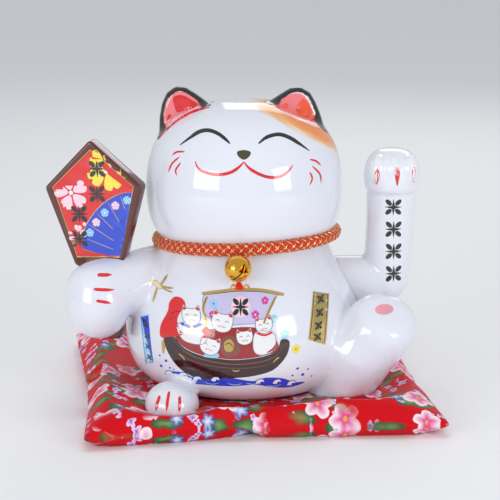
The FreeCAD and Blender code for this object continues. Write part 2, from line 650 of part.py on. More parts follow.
posts = []
bush_holes = []
for index, (side, post_x) in enumerate(zip((-1, 1), post_xs)):
    middle_x = post_x + dim.post_thick / 2
    posts.append(block(f"Post{index}", (middle_x, axle.y), flange_top, "post_thick", "post_wide",
                       "post_top - sink_level - rebate_deep"))
    foot_middle = middle_x + side * (dim.post_foot / 2 - dim.post_thick / 2)
    posts.append(block(f"PostFoot{index}", (foot_middle, axle.y), flange_top, "post_foot", "post_wide",
                       "post_thick"))
    bush_holes.append(tube(f"PostHole{index}", (post_x - 1, axle.y, axle.z), "bush_radius",
                           "post_thick + 2", X))
top_bar = block("TopBar", (DRIVE_X, axle.y), dim.post_top - dim.post_thick,
                "bay_wide + 2 * bay_wall + 2 * post_thick", "tie_bar_wide", "post_thick")
foot_holes = [tube(f"FootHole{index}", (*spot, flange_top - 1), "screw_radius * 0.8", "wall")
              for index, spot in enumerate(foot_screw_spots)]
node(cut("Frame", fuse("FrameForm", *posts, top_bar), *bush_holes, *foot_holes), "axle_frame")
frame_screws = []
for index, spot in enumerate(foot_screw_spots):
    frame_screws.append(fuse(f"FrameScrew{index}",
                             tube(f"FrameShank{index}", (*spot, flange_top - dim.frame_bite),
                                  "screw_radius * 0.8", "post_thick + frame_bite"),
                             tube(f"FrameHead{index}", (*spot, flange_top + dim.post_thick),
                                  "screw_radius * 1.6",
                                  "screw_head_tall")))
node(group("FrameScrews", *frame_screws), "frame_screws")

bushes = []
for index, post_x in enumerate(post_xs):
    start = (post_x, axle.y, axle.z)
    bushes.append(cut(f"Bush{index}", tube(f"BushSleeve{index}", start, "bush_radius", "post_thick", X),
                      tube(f"BushBore{index}", start, "shaft_radius + bore_fit", "post_thick", X)))
node(group("FrameBushes", *bushes), "frame_bushings")
shoulder_start = (dim.socket_floor - dim.boss_back, axle.y, axle.z)
flange_start = (dim.socket_floor, axle.y, axle.z)
shoulder = cut("ShoulderBush",
               fuse("ShoulderForm", tube("ShoulderSleeve", shoulder_start, "shoulder_bush", "boss_back", X),
                    tube("ShoulderFlange", flange_start, "bush_flange", "bush_flange_thick", X)),
               tube("ShoulderBore", shoulder_start, "shaft_radius + bore_fit", "boss_back * 2", X))
node(shoulder, "shoulder_bushing")

shaft_start = Vector(post_xs[0] - 3, axle.y, axle.z)
node(tube("Shaft", shaft_start, "shaft_radius", "shaft_long", X), "swing_shaft")
clip_xs = (post_xs[0] - dim.clip_thick - 0.3, post_xs[0] + dim.post_thick + 0.3)
clips = []
for index, clip_x in enumerate(clip_xs):
    start = (clip_x, axle.y, axle.z)
    clips.append(cut(f"Clip{index}", tube(f"ClipDisc{index}", start, "clip_radius", "clip_thick", X),
                     tube(f"ClipBore{index}", start, "shaft_radius", "clip_thick", X)))
node(group("ShaftClips", *clips), "shaft_clips")

foot_low = axle.z - dim.lever_drop
lever_hub_start = (DRIVE_X - dim.lever_hub_thick / 2, axle.y, axle.z)
lever_form = fuse("LeverForm", tube("LeverHub", lever_hub_start, "lever_hub", "lever_hub_thick", X),
                  block("LeverBar", (DRIVE_X, axle.y), foot_low, "lever_thick", "lever_wide", "lever_drop"),
                  block("LeverFoot", (DRIVE_X, axle.y), foot_low, "foot_block", "foot_block",
                        "foot_block_tall"))
weight_z = axle.z - dim.weight_drop
rivet_start = (DRIVE_X - dim.lever_thick / 2 - dim.weight_thick, axle.y, weight_z)
lever = cut("Lever", lever_form, tube("LeverBore", lever_hub_start, "shaft_radius", "lever_hub_thick", X),
            tube("MagnetSeat", (DRIVE_X, axle.y, foot_low), "magnet_radius", "magnet_thick"),
            tube("RivetHole", rivet_start, "rivet_radius", "2 * weight_thick + lever_thick", X))
node(lever, "pendulum_lever")
node(tube("Magnet", (DRIVE_X, axle.y, foot_low), "magnet_radius", "magnet_thick"), "drive_magnet")
weights = []
for index, low_x in enumerate((DRIVE_X - dim.lever_thick / 2 - dim.weight_thick,
                               DRIVE_X + dim.lever_thick / 2)):
    start = (low_x, axle.y, weight_z)
    weights.append(cut(f"Weight{index}", tube(f"WeightDisc{index}", start, "weight_radius", "weight_thick",
                                              X),
                       tube(f"WeightBore{index}", start, "rivet_radius", "weight_thick", X)))
node(group("Counterweights", *weights), "counterweights")
rivet_end = (DRIVE_X + dim.lever_thick / 2 + dim.weight_thick, axle.y, weight_z)
node(fuse("Rivet", tube("RivetStem", rivet_start, "rivet_radius", "2 * weight_thick + lever_thick", X),
          tube("RivetHeadLow", rivet_start, "rivet_head", "clip_thick", -X),
          tube("RivetHeadHigh", rivet_end, "rivet_head", "clip_thick", X)), "weight_rivet")

# ---- waving arm --------------------------------------------------------------------------------------

elbow = Vector(dim.elbow_x, axle.y, axle.z + 1)


def arm_form(name, start_x, inset):
    """An upright forearm on a level upper arm, with a rounded elbow and paw."""
    upper = rod(name + "Upper", Vector(start_x, axle.y, axle.z), Vector(elbow.x, axle.y, axle.z),
                "arm_radius" + inset)
    corner = add("Sphere", name + "Elbow", at(*elbow), Radius="elbow_radius" + inset)
    forearm = rod(name + "Forearm", elbow, WRIST, "elbow_radius - 0.8" + inset)
    paw = add("Ellipsoid", name + "Paw", at(*ARM_PAW), Radius1="arm_paw_tall" + inset,
              Radius2="arm_paw_wide" + inset, Radius3="arm_paw_deep" + inset)
    return fuse(name, upper, corner, forearm, paw)


arm_shell = cut("ArmShell", arm_form("ArmOuter", dim.arm_start, ""),
                arm_form("ArmInner", dim.arm_start + dim.shell_thick, " - shell_thick"),
                tube("ArmShaftHole", (dim.arm_start - 1, axle.y, axle.z), "shaft_radius + 0.5",
                     "shell_thick + 2", X))
half_box = "cushion_side"
front_half = block("FrontHalf", (elbow.x, axle.y - dim.cushion_side / 2), 0, half_box, half_box, half_box)
rear_half = block("RearHalf", (elbow.x, axle.y + dim.cushion_side / 2), 0, half_box, half_box, half_box)
node(common("ArmFront", arm_shell, front_half), "arm_front_shell")
node(common("ArmRear", arm_shell, rear_half), "arm_rear_shell")

hub_start = (dim.arm_start + dim.shell_thick, axle.y, axle.z)
grub_x = hub_start[0] + dim.grub_step
grub_low = axle.z + dim.shaft_radius
hub = cut("ArmHub",
          fuse("HubForm", tube("HubFlange", hub_start, "hub_flange", "hub_flange_thick", X),
               tube("HubBoss", hub_start, "hub_boss", "hub_long", X)),
          tube("HubBore", hub_start, "shaft_radius", "hub_long", X),
          tube("GrubHole", (grub_x, axle.y, axle.z), "grub_radius", "hub_boss + 1"))
node(hub, "arm_hub")
node(tube("Grub", (grub_x, axle.y, grub_low), "grub_radius", "grub_long"), "hub_screw")

# ---- check and write -----------------------------------------------------------------------------

doc.recompute()
for thing in doc.Objects:
    if "Invalid" in thing.State or "Error" in thing.State:
        raise RuntimeError(f"{thing.Name} failed: {thing.State}")
for thing in nodes:
    if thing.Shape.isNull() or not thing.Shape.isValid() or not thing.Shape.Solids:
        raise RuntimeError(f"{thing.Label} has no valid solid")
for thing in nodes:
    thing.Shape.exportStep(f"parts/{thing.Label}.step")
    print(f"{thing.Label}: {len(thing.Shape.Solids)} solid(s), {thing.Shape.Volume / 1000:.2f} cm3")
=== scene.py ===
import math
from contextlib import contextmanager

import bpy
from mathutils import Matrix, Quaternion, Vector


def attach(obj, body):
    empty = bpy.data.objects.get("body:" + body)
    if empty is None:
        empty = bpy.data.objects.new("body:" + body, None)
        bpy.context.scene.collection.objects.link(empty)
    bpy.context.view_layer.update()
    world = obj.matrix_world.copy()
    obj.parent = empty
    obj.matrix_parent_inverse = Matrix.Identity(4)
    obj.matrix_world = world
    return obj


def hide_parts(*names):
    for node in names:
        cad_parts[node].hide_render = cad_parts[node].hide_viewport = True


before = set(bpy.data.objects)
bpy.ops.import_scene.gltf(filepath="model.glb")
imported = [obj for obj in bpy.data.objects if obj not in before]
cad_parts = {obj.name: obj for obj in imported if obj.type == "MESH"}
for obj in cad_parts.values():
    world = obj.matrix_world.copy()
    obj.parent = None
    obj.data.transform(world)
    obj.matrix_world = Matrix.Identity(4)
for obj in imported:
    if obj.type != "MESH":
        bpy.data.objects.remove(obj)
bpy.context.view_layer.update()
MM = 0.001
X_AXIS = Vector((1, 0, 0))
Z_AXIS = Vector((0, 0, 1))


# ---- camera, light and floor ---------------------------------------------------------------------

def make_camera():
    """Level with the ornament's middle, a little above it, from straight in front."""
    target = Vector((5.6, 0, 118)) * MM
    distance = 1.42
    elevation = math.radians(13.5)
    bpy.ops.object.camera_add(location=target + Vector((0, -math.cos(elevation),
            math.sin(elevation))) * distance,
            rotation=(math.radians(90) - elevation, 0, 0))
    camera = bpy.context.object
    camera.data.sensor_width = 36
    camera.data.lens = 127.9
    bpy.context.scene.camera = camera


def softbox(name, place, aim, size, power, mirrored=True):
    bpy.ops.object.light_add(type="AREA", location=place)
    lamp = bpy.context.object
    lamp.name = name
    lamp.data.shape = "RECTANGLE"
    lamp.data.size = size[0]
    lamp.data.size_y = size[1]
    lamp.data.energy = power
    lamp.visible_glossy = mirrored
    lamp.rotation_euler = (Vector(aim) - Vector(place)).to_track_quat("-Z", "Y").to_euler()


def make_studio():
    bpy.ops.mesh.primitive_plane_add(size=8, location=(0, 0, -0.0006))
    floor = bpy.context.object
    floor.name = "floor"
    floor.data.materials.append(finish("floor_paper", (0.93, 0.93, 0.94), 0.8, grain=8, mottle=0.01))
    world = bpy.data.worlds.new("studio")
    world.use_nodes = True
    world.node_tree.nodes["Background"].inputs["Color"].default_value = (0.93, 0.96, 1, 1)
    world.node_tree.nodes["Background"].inputs["Strength"].default_value = 0.6
    bpy.context.scene.world = world
    bpy.context.scene.view_settings.view_transform = "Standard"
    middle = (0, 0, 0.13)
    softbox("left_box", (-1.0, -1.1, 0.42), middle, (0.8, 0.5), 6)
    softbox("right_box", (1.0, -1.1, 0.45), middle, (0.5, 0.6), 5.5)
    softbox("top_box", (0, 0.1, 1.5), middle, (1.0, 0.6), 3.2, mirrored=False)
    softbox("back_box", (0.3, 1.3, 0.9), middle, (0.9, 0.6), 2.5)


# ---- shader helpers ------------------------------------------------------------------------------

def shader_node(tree, kind, inputs=None, **settings):
    made = tree.nodes.new("ShaderNode" + kind)
    for key, value in settings.items():
        setattr(made, key, value)
    for key, value in (inputs or {}).items():
        if isinstance(value, bpy.types.NodeSocket):
            tree.links.new(value, made.inputs[key])
        else:
            made.inputs[key].default_value = value
    return made


def calc(tree, operation, first, second=0.0):
    """A Math node's result."""
    return shader_node(tree, "Math", {0: first, 1: second}, operation=operation).outputs[0]


def mixed(tree, share, low, high):
    """A colour mix."""
    return shader_node(tree, "Mix", {0: share, 6: low, 7: high}, data_type="RGBA").outputs[2]


def ramped(tree, value, low, high, start=0.0, end=1.0):
    """A value moved evenly from one range to another, held at its ends."""
    return shader_node(tree, "MapRange", {0: value, 1: low, 2: high, 3: start, 4: end}).outputs[0]


def rgba(colour):
    return (*colour, 1.0)


def new_group(name, inputs, outputs):
    """An empty shader group with named sockets, its input node and its output node."""
    group = bpy.data.node_groups.new(name, "ShaderNodeTree")
    for direction, sockets in (("INPUT", inputs), ("OUTPUT", outputs)):
        for label, kind in sockets.items():
            group.interface.new_socket(label, in_out=direction, socket_type="NodeSocket" + kind)
    return group, group.nodes.new("NodeGroupInput").outputs, group.nodes.new("NodeGroupOutput").inputs


def make_grain_group():
    """Colour that drifts over a surface, with a fine height for its bump."""
    group, given, result = new_group("surface_grain", {"Colour": "Color", "Scale": "Float",
            "Amount": "Float"},
            {"Colour": "Color", "Height": "Float"})
    place = shader_node(group, "TexCoord").outputs["Object"]
    noise = shader_node(group, "TexNoise", {"Vector": place, "Scale": given["Scale"],
            "Detail": 5.0}).outputs[0]
    swing = calc(group, "MULTIPLY", calc(group, "SUBTRACT", noise, 0.5), given["Amount"])
    tint = shader_node(group, "HueSaturation", {"Color": given["Colour"],
            "Value": calc(group, "ADD", swing, 1.0)})
    group.links.new(tint.outputs[0], result["Colour"])
    group.links.new(noise, result["Height"])
    return group


def finish(name, colour, roughness, metallic=0.0, grain=60.0, mottle=0.12, bump=0.02, coat=0.0, **sockets):
    """A finish with a gently drifting colour and a fine uneven surface."""
    material = bpy.data.materials.new(name)
    material.use_nodes = True
    tree = material.node_tree
    shader = tree.nodes["Principled BSDF"]
    surface = shader_node(tree, "Group", node_tree=GRAIN)
    surface.inputs["Colour"].default_value = rgba(colour)
    surface.inputs["Scale"].default_value = grain
    surface.inputs["Amount"].default_value = mottle
    tree.links.new(surface.outputs["Colour"], shader.inputs["Base Color"])
    relief = shader_node(tree, "Bump", {"Height": surface.outputs["Height"], "Strength": bump,
            "Distance": 0.0005})
    tree.links.new(relief.outputs[0], shader.inputs["Normal"])
    shader.inputs["Roughness"].default_value = roughness
    shader.inputs["Metallic"].default_value = metallic
    shader.inputs["Coat Weight"].default_value = coat
    shader.inputs["Coat Roughness"].default_value = 0.04
    for key, value in sockets.items():
        shader.inputs[key.replace("_", " ")].default_value = value
    return material


def glaze_finish():
    """White glaze with a brushed orange patch that fades to yellow above one eye."""
    material = finish("white_glaze", (0.80, 0.82, 0.90), 0.09, grain=25, mottle=0.02, bump=0.004, coat=0.45)
    tree = material.node_tree
    shader = tree.nodes["Principled BSDF"]
    place = shader_node(tree, "TexCoord").outputs["Object"]
    centred = shader_node(tree, "Mapping", {"Vector": place, "Location": (-0.007, 0, -0.238)}).outputs[0]
    turned = shader_node(tree, "VectorRotate", {"Vector": centred, "Axis": (0, 1, 0),
            "Angle": math.radians(-28.5)})
    part = shader_node(tree, "SeparateXYZ", {"Vector": turned.outputs[0]}).outputs
    stretched = shader_node(tree, "Mapping", {"Vector": turned.outputs[0], "Scale": (28, 60, 420)}).outputs[0]
    streak = shader_node(tree, "TexNoise", {"Vector": stretched, "Scale": 1.0, "Detail": 3.0}).outputs[0]
    edge_swing = calc(tree, "MULTIPLY", calc(tree, "SUBTRACT", streak, 0.5), 0.004)
    bow = calc(tree, "MULTIPLY", calc(tree, "POWER", calc(tree, "SUBTRACT", part[0], 0.033), 2.0), 1.9)
    rise = calc(tree, "ADD", calc(tree, "SUBTRACT", part[2], 0.0016), calc(tree, "ADD", edge_swing, bow))
    inside = ramped(tree, rise, -0.0004, 0.0016)
    front = ramped(tree, part[1], 0.012, 0.03, 1.0, 0.0)
    mask = calc(tree, "MULTIPLY", calc(tree, "MULTIPLY", inside, front), ramped(tree, part[0], -0.006, 0.006))
    paint = shader_node(tree, "ValToRGB", {0: ramped(tree, calc(tree, "ADD", rise, edge_swing), 0.0, 0.016)})
    stops = paint.color_ramp.elements
    stops[0].color = rgba((0.92, 0.72, 0.40))
    stops[1].color = rgba((0.76, 0.10, 0.01))
    stops.new(0.3).color = rgba((0.88, 0.28, 0.06))
    stops.new(0.7).color = rgba((0.82, 0.17, 0.03))
    streaked = mixed(tree, calc(tree, "MULTIPLY", streak, 0.4), paint.outputs[0], rgba((0.90, 0.30, 0.08)))
    plain = shader.inputs["Base Color"].links[0].from_socket
    tree.links.new(mixed(tree, mask, plain, streaked), shader.inputs["Base Color"])
    return material


# ---- modelling helpers ---------------------------------------------------------------------------

def pick(*things):
    bpy.ops.object.select_all(action="DESELECT")
    for thing in things:
        thing.select_set(True)
    bpy.context.view_layer.objects.active = things[0]


@contextmanager
def editing(thing, mode="FACE"):
    pick(thing)
    bpy.ops.object.mode_set(mode="EDIT")
    bpy.ops.mesh.select_mode(type=mode)
    bpy.ops.mesh.select_all(action="SELECT")
    yield
    bpy.ops.object.mode_set(mode="OBJECT")


def modify(thing, kind, **settings):
    """Add one modifier and apply it at once."""
    modifier = thing.modifiers.new(kind, kind)
    for key, value in settings.items():
        setattr(modifier, key, value)
    pick(thing)
    bpy.ops.object.modifier_apply(modifier=modifier.name)
    return thing


def settle(thing):
    """Put an object's place into its mesh."""
    pick(thing)
    bpy.ops.object.transform_apply(location=True, rotation=True, scale=True)
    return thing


def placed(thing, matrix):
    thing.matrix_world = matrix
    return settle(thing)


def joined(name, *things):
    pick(*things)
    if len(things) > 1:
        bpy.ops.object.join()
    whole = bpy.context.object
    whole.name = name
    return whole


def copied(thing, name):
    twin = thing.copy()
    twin.data = thing.data.copy()
    twin.name = name
    bpy.context.collection.objects.link(twin)
    return twin


def between(start, end):
    """The place of a form drawn up along Z that starts at one point and leans to another."""
    turn = (Vector(end) - Vector(start)).to_track_quat("Z", "Y")
    return Matrix.Translation(Vector(start) * MM) @ turn.to_matrix().to_4x4()


def stacked(name, rings, sides=32, rounded=2):
    """A closed form drawn up ring by ring; a ring is level, half-width, half-depth and centre, in mm."""
    level, wide, deep, x, y = rings[0]
    bpy.ops.mesh.primitive_circle_add(vertices=sides, radius=1, fill_type="NGON")
    form = bpy.context.object
    form.name = name
    with editing(form):
        bpy.ops.transform.resize(value=(wide * MM, deep * MM, 1), center_override=(0, 0, 0))
        bpy.ops.transform.translate(value=(x * MM, y * MM, level * MM))
        for (z0, w0, d0, x0, y0), (z1, w1, d1, x1, y1) in zip(rings, rings[1:]):
            step = ((x1 - x0) * MM, (y1 - y0) * MM, (z1 - z0) * MM)
            bpy.ops.mesh.extrude_region_move(TRANSFORM_OT_translate={"value": step})
            bpy.ops.transform.resize(value=(w1 / w0, d1 / d0, 1), center_override=(x1 * MM, y1 * MM, z1 * MM))
        bpy.ops.mesh.select_all(action="SELECT")
        bpy.ops.mesh.normals_make_consistent(inside=False)
    if rounded:
        modify(form, "SUBSURF", levels=rounded, render_levels=rounded)
    return form


def round_rings(rings, depth=1.0, x=0.0):
    return [(level, radius, radius * depth, x, 0) for level, radius in rings]


def slab(name, outline, front, back, taper=1.0):
    """A plate with an upright outline of (x, z) points, from one depth to another, in mm."""
    bpy.ops.mesh.primitive_circle_add(vertices=len(outline), radius=0.1, fill_type="NGON")
    plate = bpy.context.object
    plate.name = name
    for vertex, (x, z) in zip(plate.data.vertices, outline):
        vertex.co = (x * MM, front * MM, z * MM)
    x, z = (sum(values) / len(outline) for values in zip(*outline))
    with editing(plate):
        bpy.ops.mesh.extrude_region_move(TRANSFORM_OT_translate={"value": (0, (back - front) * MM, 0)})
        bpy.ops.transform.resize(value=(taper, 1, taper), center_override=(x * MM, back * MM, z * MM))
        bpy.ops.mesh.select_all(action="SELECT")
        bpy.ops.mesh.normals_make_consistent(inside=False)
    return plate


def ball(name, centre, radii, segments=48):
    bpy.ops.mesh.primitive_uv_sphere_add(segments=segments, ring_count=segments // 2, radius=1,
            location=Vector(centre) * MM, scale=Vector(radii) * MM)
    form = bpy.context.object
    form.name = name
    return settle(form)


def peg(name, centre, radius, length, along=(0, 0, 1), sides=64):
    """A plain cylinder centred on a point."""
    turn = Vector(along).to_track_quat("Z", "Y").to_euler()
    bpy.ops.mesh.primitive_cylinder_add(vertices=sides, radius=radius * MM, depth=length * MM,
            location=Vector(centre) * MM, rotation=turn)
    form = bpy.context.object
    form.name = name
    return settle(form)


def carve(thing, *cutters):
    for cutter in cutters:
        modify(thing, "BOOLEAN", object=cutter, operation="DIFFERENCE", solver="EXACT")
        bpy.data.objects.remove(cutter)
    return thing


def fused(name, grain, passes, *forms):
    """Join forms into one skin, then soften the joins."""
    whole = joined(name, *forms)
    modify(whole, "REMESH", mode="VOXEL", voxel_size=grain * MM, adaptivity=0)
    return modify(whole, "SMOOTH", factor=0.5, iterations=passes)


def smooth_shade(thing, angle=40):
    pick(thing)
    bpy.ops.object.shade_smooth_by_angle(angle=math.radians(angle))
    return thing


def piece(thing, body, material=None, replaces=()):
    if material:
        thing.data.materials.clear()
        thing.data.materials.append(material)
    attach(thing, body)
    if replaces:
        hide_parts(*replaces)
    return thing


# ---- drawn outlines ------------------------------------------------------------------------------

def curve_through(points, closed, steps=5):
    """Evenly eased points on a smooth line through the given ones."""
    count = len(points)
    fetch = (lambda index: points[index % count]) if closed else (lambda index: points[min(max(index, 0),
            count - 1)])
    line = []
    for index in range(count if closed else count - 1):
        a, b, c, d = (Vector(fetch(index + shift)) for shift in (-1, 0, 1, 2))
        for step in range(steps):
            t = step / steps
            line.append(0.5 * ((2 * b) + (c - a) * t + (2 * a - 5 * b + 4 * c - d) * t * t +
                    (3 * b - a - 3 * c + d) * t ** 3))
    return line if closed else line + [Vector(points[-1])]


def sideways(line, index, closed):
    last = len(line) - 1
    back = line[index - 1] if closed or index else line[0]
    ahead = line[(index + 1) % len(line)] if closed or index < last else line[last]
    run = (ahead - back).normalized()
    return Vector((-run.y, run.x))


def straight(points):
    return [[Vector(spot) for spot in points]]


def loop(points, steps=5):
    return [curve_through(points, True, steps)]


def stroke(points, width, start=0.1, end=0.1):
    """A brush stroke that swells from one end's share of its width to full and back."""
    line = curve_through(points, False)
    last = len(line) - 1
    edges = ([], [])
    for index, spot in enumerate(line):
        t = index / last
        half = width / 2 * min(1, start + 3.2 * t, end + 3.2 * (1 - t))
        for edge, side in zip(edges, (1, -1)):
            edge.append(spot + sideways(line, index, False) * half * side)
    return [edges[0] + edges[1][::-1]]


def band(points, width, smooth=True):
    """A line of even width round a closed outline."""
    line = curve_through(points, True) if smooth else [Vector(point) for point in points]
    return [[spot + sideways(line, index, True) * width / 2 * side for index, spot in enumerate(line)]
            for side in (1, -1)]


def oval(x, z, wide, tall=None, turn=0, sides=18):
    tall = tall or wide
    lean = math.radians(turn)
    spots = []
    for index in range(sides):
        angle = 2 * math.pi * index / sides
        across, up = wide * math.cos(angle), tall * math.sin(angle)
        spots.append(Vector((x + across * math.cos(lean) - up * math.sin(lean),
                z + across * math.sin(lean) + up * math.cos(lean))))
    return [spots]


def petals(x, z, reach, count=5, turn=90, wide=0.42, notch=0.86):
    """The notched petals of one blossom."""
    made = []
    for index in range(count):
        lean = math.radians(turn + 360 * index / count)
        shape = ((0.16, 0), (0.5, wide * 0.8), (0.85, wide), (1, wide * 0.35), (notch, 0), (1, -wide * 0.35),
                (0.85, -wide), (0.5, -wide * 0.8))
        spots = [(x + reach * (along * math.cos(lean) - across * math.sin(lean)),
                z + reach * (along * math.sin(lean) + across * math.cos(lean))) for along, across in shape]
        made += loop(spots, 3)
    return made


def blossom(x, z, reach, colour, middle, layer=2, turn=90, count=5):
    return [(colour, layer, petals(x, z, reach, count, turn)),
            (middle, layer + 1, oval(x, z, reach * 0.2, sides=10))]


def knot_mark(x, z, size, colour="black", rim=None, layer=4):
    """A plain ornament of four lobes round a lozenge, as large as the marks it stands for."""
    lobes = [(colour, layer, oval(x + size * dx, z + size * dz, size * 0.22, size * 0.13, turn, 12))
            for dx, dz, turn in ((0.27, 0.27, 45), (-0.27, 0.27, -45), (-0.27, -0.27, 45),
            (0.27, -0.27, -45))]
    bars = [(colour, layer, [[Vector((x, z + size * 0.5)), Vector((x + size * 0.1, z)),
            Vector((x, z - size * 0.5)), Vector((x - size * 0.1, z))]]),
            (colour, layer + 1, [[Vector((x - size * 0.5, z)), Vector((x, z + size * 0.1)),
            Vector((x + size * 0.5, z)), Vector((x, z - size * 0.1))]])]
    back = [(rim, layer - 1, oval(x, z, size * 0.56, size * 0.56, sides=24))] if rim else []
    return back + lobes + bars


FRONT = Matrix.Translation((0, -0.2, 0)) @ Matrix.Rotation(math.pi / 2, 4, "X")
LIFT = 0.07
LAYER_STEP = 0.045


def printed(name, body, host, shapes, place=FRONT, grid=3.0, avoid=None):
    """Flat drawn shapes laid onto a surface, each layer a hair above the one below."""
    drawn = []
    for colour, layer, outlines in shapes:
        line = bpy.data.curves.new("drawn", "CURVE")
        line.dimensions = "2D"
        line.fill_mode = "BOTH"
        for outline in outlines:
            spline = line.splines.new("POLY")
            spline.points.add(len(outline) - 1)
            for point, spot in zip(spline.points, outline):
                point.co = (spot[0] * MM, spot[1] * MM, 0, 1)
            spline.use_cyclic_u = True
        flat = bpy.data.objects.new("drawn", line)
        bpy.context.collection.objects.link(flat)
        pick(flat)
        bpy.ops.object.convert(target="MESH")
        flat = bpy.context.object
        flat.data.materials.append(INKS[colour])
        flat.vertex_groups.new(name=f"layer{layer}").add(range(len(flat.data.vertices)), 1, "ADD")
        drawn.append(flat)
    whole = joined(name, *drawn)
    for axis in (0, 1):
        places = [vertex.co[axis] for vertex in whole.data.vertices]
        cut = math.ceil(min(places) / (grid * MM)) * grid * MM
        with editing(whole, "VERT"):
            while cut < max(places):
                spot = [0, 0, 0]
                facing = [0, 0, 0]
                spot[axis] = cut
                facing[axis] = 1
                bpy.ops.mesh.select_all(action="SELECT")
                bpy.ops.mesh.bisect(plane_co=spot, plane_no=facing)
                cut += grid * MM
    whole.matrix_world = place
    for layer in sorted({layer for _, layer, _ in shapes}):
        modify(whole, "SHRINKWRAP", target=host, wrap_method="PROJECT", use_project_z=True,
               use_negative_direction=True, use_positive_direction=False, vertex_group=f"layer{layer}",
               offset=(LIFT + LAYER_STEP * layer) * MM)
    with editing(whole, "VERT"):
        bpy.ops.mesh.select_all(action="DESELECT")
        bpy.ops.object.mode_set(mode="OBJECT")
        for vertex in whole.data.vertices:
            spot = whole.matrix_world @ vertex.co
            vertex.select = abs(vertex.co.z) < MM or bool(avoid and (spot / MM - avoid[0]).length < avoid[1])
        bpy.ops.object.mode_set(mode="EDIT")
        bpy.ops.mesh.delete(type="VERT")
    settle(whole)
    return piece(whole, body)


# ---- shared places -------------------------------------------------------------------------------

TABLET_PLACE = (Matrix.Translation(Vector((-107.7, -28, 54)) * MM) @ Matrix.Rotation(math.radians(-15), 4,
        "Z") @
        Matrix.Rotation(math.radians(-3.3), 4, "Y"))
TABLET_RIGHT = ((14, 0), (14, 57), (20, 60), (40, 122))
TABLET_OUTLINE = TABLET_RIGHT + ((0, 159),) + tuple((-x, z) for x, z in TABLET_RIGHT[::-1])

# ---- ceramic casting -----------------------------------------------------------------------------

TORSO_RINGS = ((14, 50), (14, 66), (15.5, 72), (22, 83), (34, 91.5), (50, 95), (66, 94.2), (82, 91), (96, 84),
        (108, 76), (118, 71), (128, 67), (138, 60), (146, 40))
HEAD_RINGS = ((112, 30), (116, 46), (123, 60), (133, 69.5), (147, 76), (164, 78.6), (182, 78.2), (199, 74.5),
        (214, 67), (226, 55), (234, 40), (238, 22), (238.6, 8))
HEAD_X = 1.2
HEAD_DEPTH = 0.95
LEFT_EAR = ((-64, 203), (-66.5, 214), (-66, 226), (-64, 237), (-60, 245.5), (-53, 250.5), (-45, 250.5),
        (-36, 245),
        (-26, 237.5), (-12, 228), (-18, 206), (-42, 198))
RIGHT_EAR = ((62, 198), (66, 208), (64.5, 218), (61.5, 228), (57.5, 238), (52.5, 246.5), (45, 250.5),
        (37, 249.5),
        (28, 244), (17, 236.5), (6, 229), (14, 206), (38, 196))
EAR_FRONT, EAR_BACK = -7, 13
LEFT_SHOULDER = (-58, -6, 102)
LEFT_PAW = (-113, -42, 94)
LEG_ROOT = Vector((78, -33, 28))
SOLE = Vector((112, -62, 86))
SOLE_FACING = Vector((0.2, -0.5, 0.84)).normalized()
FOOT = Vector((-54, -87, 18))
AXLE = Vector((0, 8, 92))
SEAT = 14
SOLE_BEND = 40


def make_ear(outline, dish_x):
    """A soft triangular plate, thinner at the back, with a shallow dish in its face."""
    ear = slab("ear", outline, EAR_FRONT, EAR_BACK, 0.86)
    modify(ear, "BEVEL", width=6 * MM, segments=5, limit_method="ANGLE", angle_limit=math.radians(60))
    return carve(ear, ball("dish", (dish_x, EAR_FRONT - 10.5, 230), (17, 12, 17)))


def make_leg():
    reach = (SOLE - LEG_ROOT).length
    rings = ((-24, 28), (-8, 31), (14, 31.5), (34, 30.5), (52, 28.5), (60, 27), (66, 24.5), (69.5, 20),
            (71, 13),
            (71.4, 6))
    leg = placed(stacked("leg", round_rings(rings), sides=40), between(LEG_ROOT, SOLE))
    along = (SOLE - LEG_ROOT).normalized()
    tilt = along.rotation_difference(SOLE_FACING)
    for vertex in leg.data.vertices:
        far = (vertex.co / MM - LEG_ROOT).dot(along) - (reach - SOLE_BEND)
        if far > 0:
            share = min(1, far / (SOLE_BEND * 0.75))
            turned = Quaternion().slerp(tilt, share)
            vertex.co = (SOLE * MM) + turned @ (vertex.co - SOLE * MM)
    return leg


